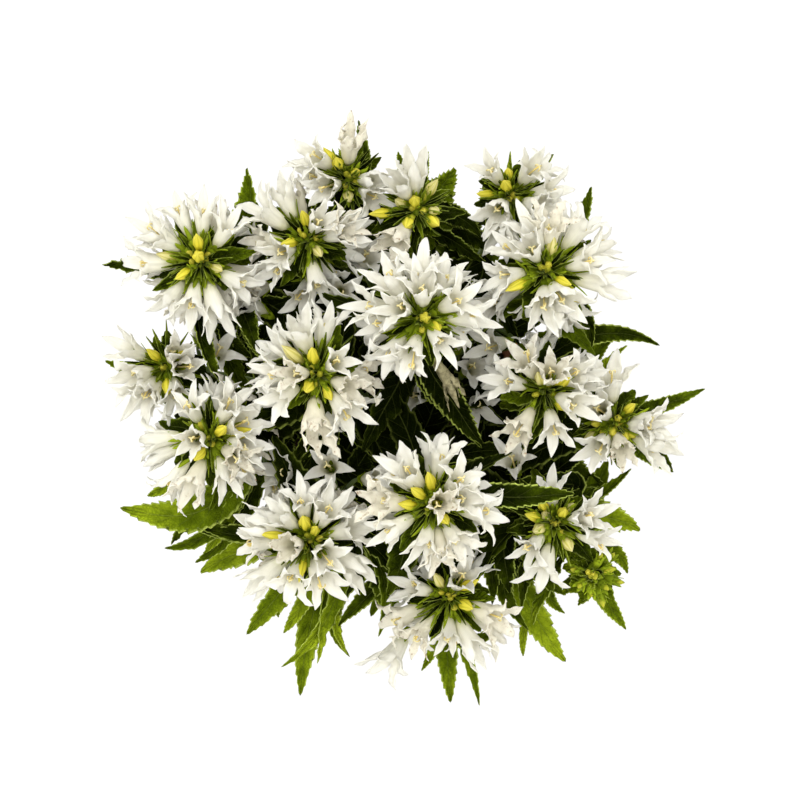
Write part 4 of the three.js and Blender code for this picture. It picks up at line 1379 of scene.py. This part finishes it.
soil = Pile()
radius = np.linspace(0, 1, SOIL_ROWS + 1)[1:] * SOIL_RADIUS
angle = 2 * np.pi * np.arange(SOIL_COLS) / SOIL_COLS
r, a = np.meshgrid(radius, angle, indexing="ij")
x, y = r * np.cos(a), r * np.sin(a)
bumps = sum(
    h * np.sin(x * fx + px) * np.sin(y * fy + py)
    for h, fx, fy, px, py in zip([0.9, 0.7, 0.5, 0.35, 0.3], rng.uniform(0.1, 0.9, 5),
                                 rng.uniform(0.1, 0.9, 5), rng.uniform(0, 6, 5), rng.uniform(0, 6, 5)))
z = SOIL_TOP - 0.8 + bumps + rng.normal(0, 0.25, x.shape)
top = np.stack([x, y, z], axis=2)
rings = [np.stack([x[-1] * share, y[-1] * share, np.full(SOIL_COLS, height)], axis=1)[None]
         for share, height in SOIL_RINGS]
shell = np.concatenate([top, *rings])
form = tube_form(len(shell) - 1, SOIL_COLS)
form.quads = form.quads[:, ::-1]
soil.add(shell.reshape(1, -1, 3), form, NO_TRAIT)

spot_r = CRUMB_REACH * np.sqrt(rng.uniform(0, 1, CRUMBS))
spot_a = rng.uniform(0, 2 * np.pi, CRUMBS)
spots = np.stack([spot_r * np.cos(spot_a), spot_r * np.sin(spot_a), np.full(CRUMBS, SOIL_TOP - 0.2)], axis=1)
lie = rising(rng.uniform(0, 360, CRUMBS), -30, 30)
big = rng.uniform(0.5, 2.2, CRUMBS)[:, None]
line = spokes(spots, lie, big * np.linspace(-0.8, 0.8, CRUMB.rows + 1))
girth = big * CRUMB_SHAPE[None] * rng.uniform(0.7, 1.2, (CRUMBS, CRUMB.rows + 1))
soil.sweep(CRUMB, line, girth, axes(lie, np.zeros(CRUMBS))[0], np.zeros((CRUMBS, 3)))
soil.build("compost", SOIL_LOOK, "compost", "soil")

# Floor, light and camera, in metres

FLOOR_SIZE = 6
LAMP_AIM = np.array([0, 0, 0.2])
CAMERA_PLACE = (-0.0011, 0.0058, 1.265)
LENS, SENSOR = 104.6, 36

bpy.ops.mesh.primitive_plane_add(size=FLOOR_SIZE)
ground = bpy.context.object
ground.name = "floor"
ground.data.materials.append(floor_material())

world = bpy.data.worlds.new("studio")
bpy.context.scene.world = world
world.use_nodes = True
background = world.node_tree.nodes["Background"]
background.inputs["Color"].default_value = (1.0, 0.99, 0.965, 1)
background.inputs["Strength"].default_value = 1.5


def lamp(name, at, size, power):
    data = bpy.data.lights.new(name, "AREA")
    data.shape = "SQUARE"
    data.size = size
    data.energy = power
    made = bpy.data.objects.new(name, data)
    made.location = at
    bpy.context.scene.collection.objects.link(made)
    made.rotation_euler = Vector(LAMP_AIM - np.array(at)).to_track_quat("-Z", "Y").to_euler()


lamp("key", (-0.3, 0.4, 2.0), 1.8, 27)
lamp("fill", (1.0, -0.6, 1.5), 1.2, 3)

camera_data = bpy.data.cameras.new("camera")
camera_data.lens = LENS
camera_data.sensor_width = SENSOR
camera_data.clip_start = 0.01
camera = bpy.data.objects.new("camera", camera_data)
camera.location = CAMERA_PLACE
bpy.context.scene.collection.objects.link(camera)
bpy.context.scene.camera = camera

bpy.context.scene.view_settings.view_transform = "Standard"
bpy.context.scene.view_settings.look = "None"
bpy.context.scene.view_settings.exposure = 0.0
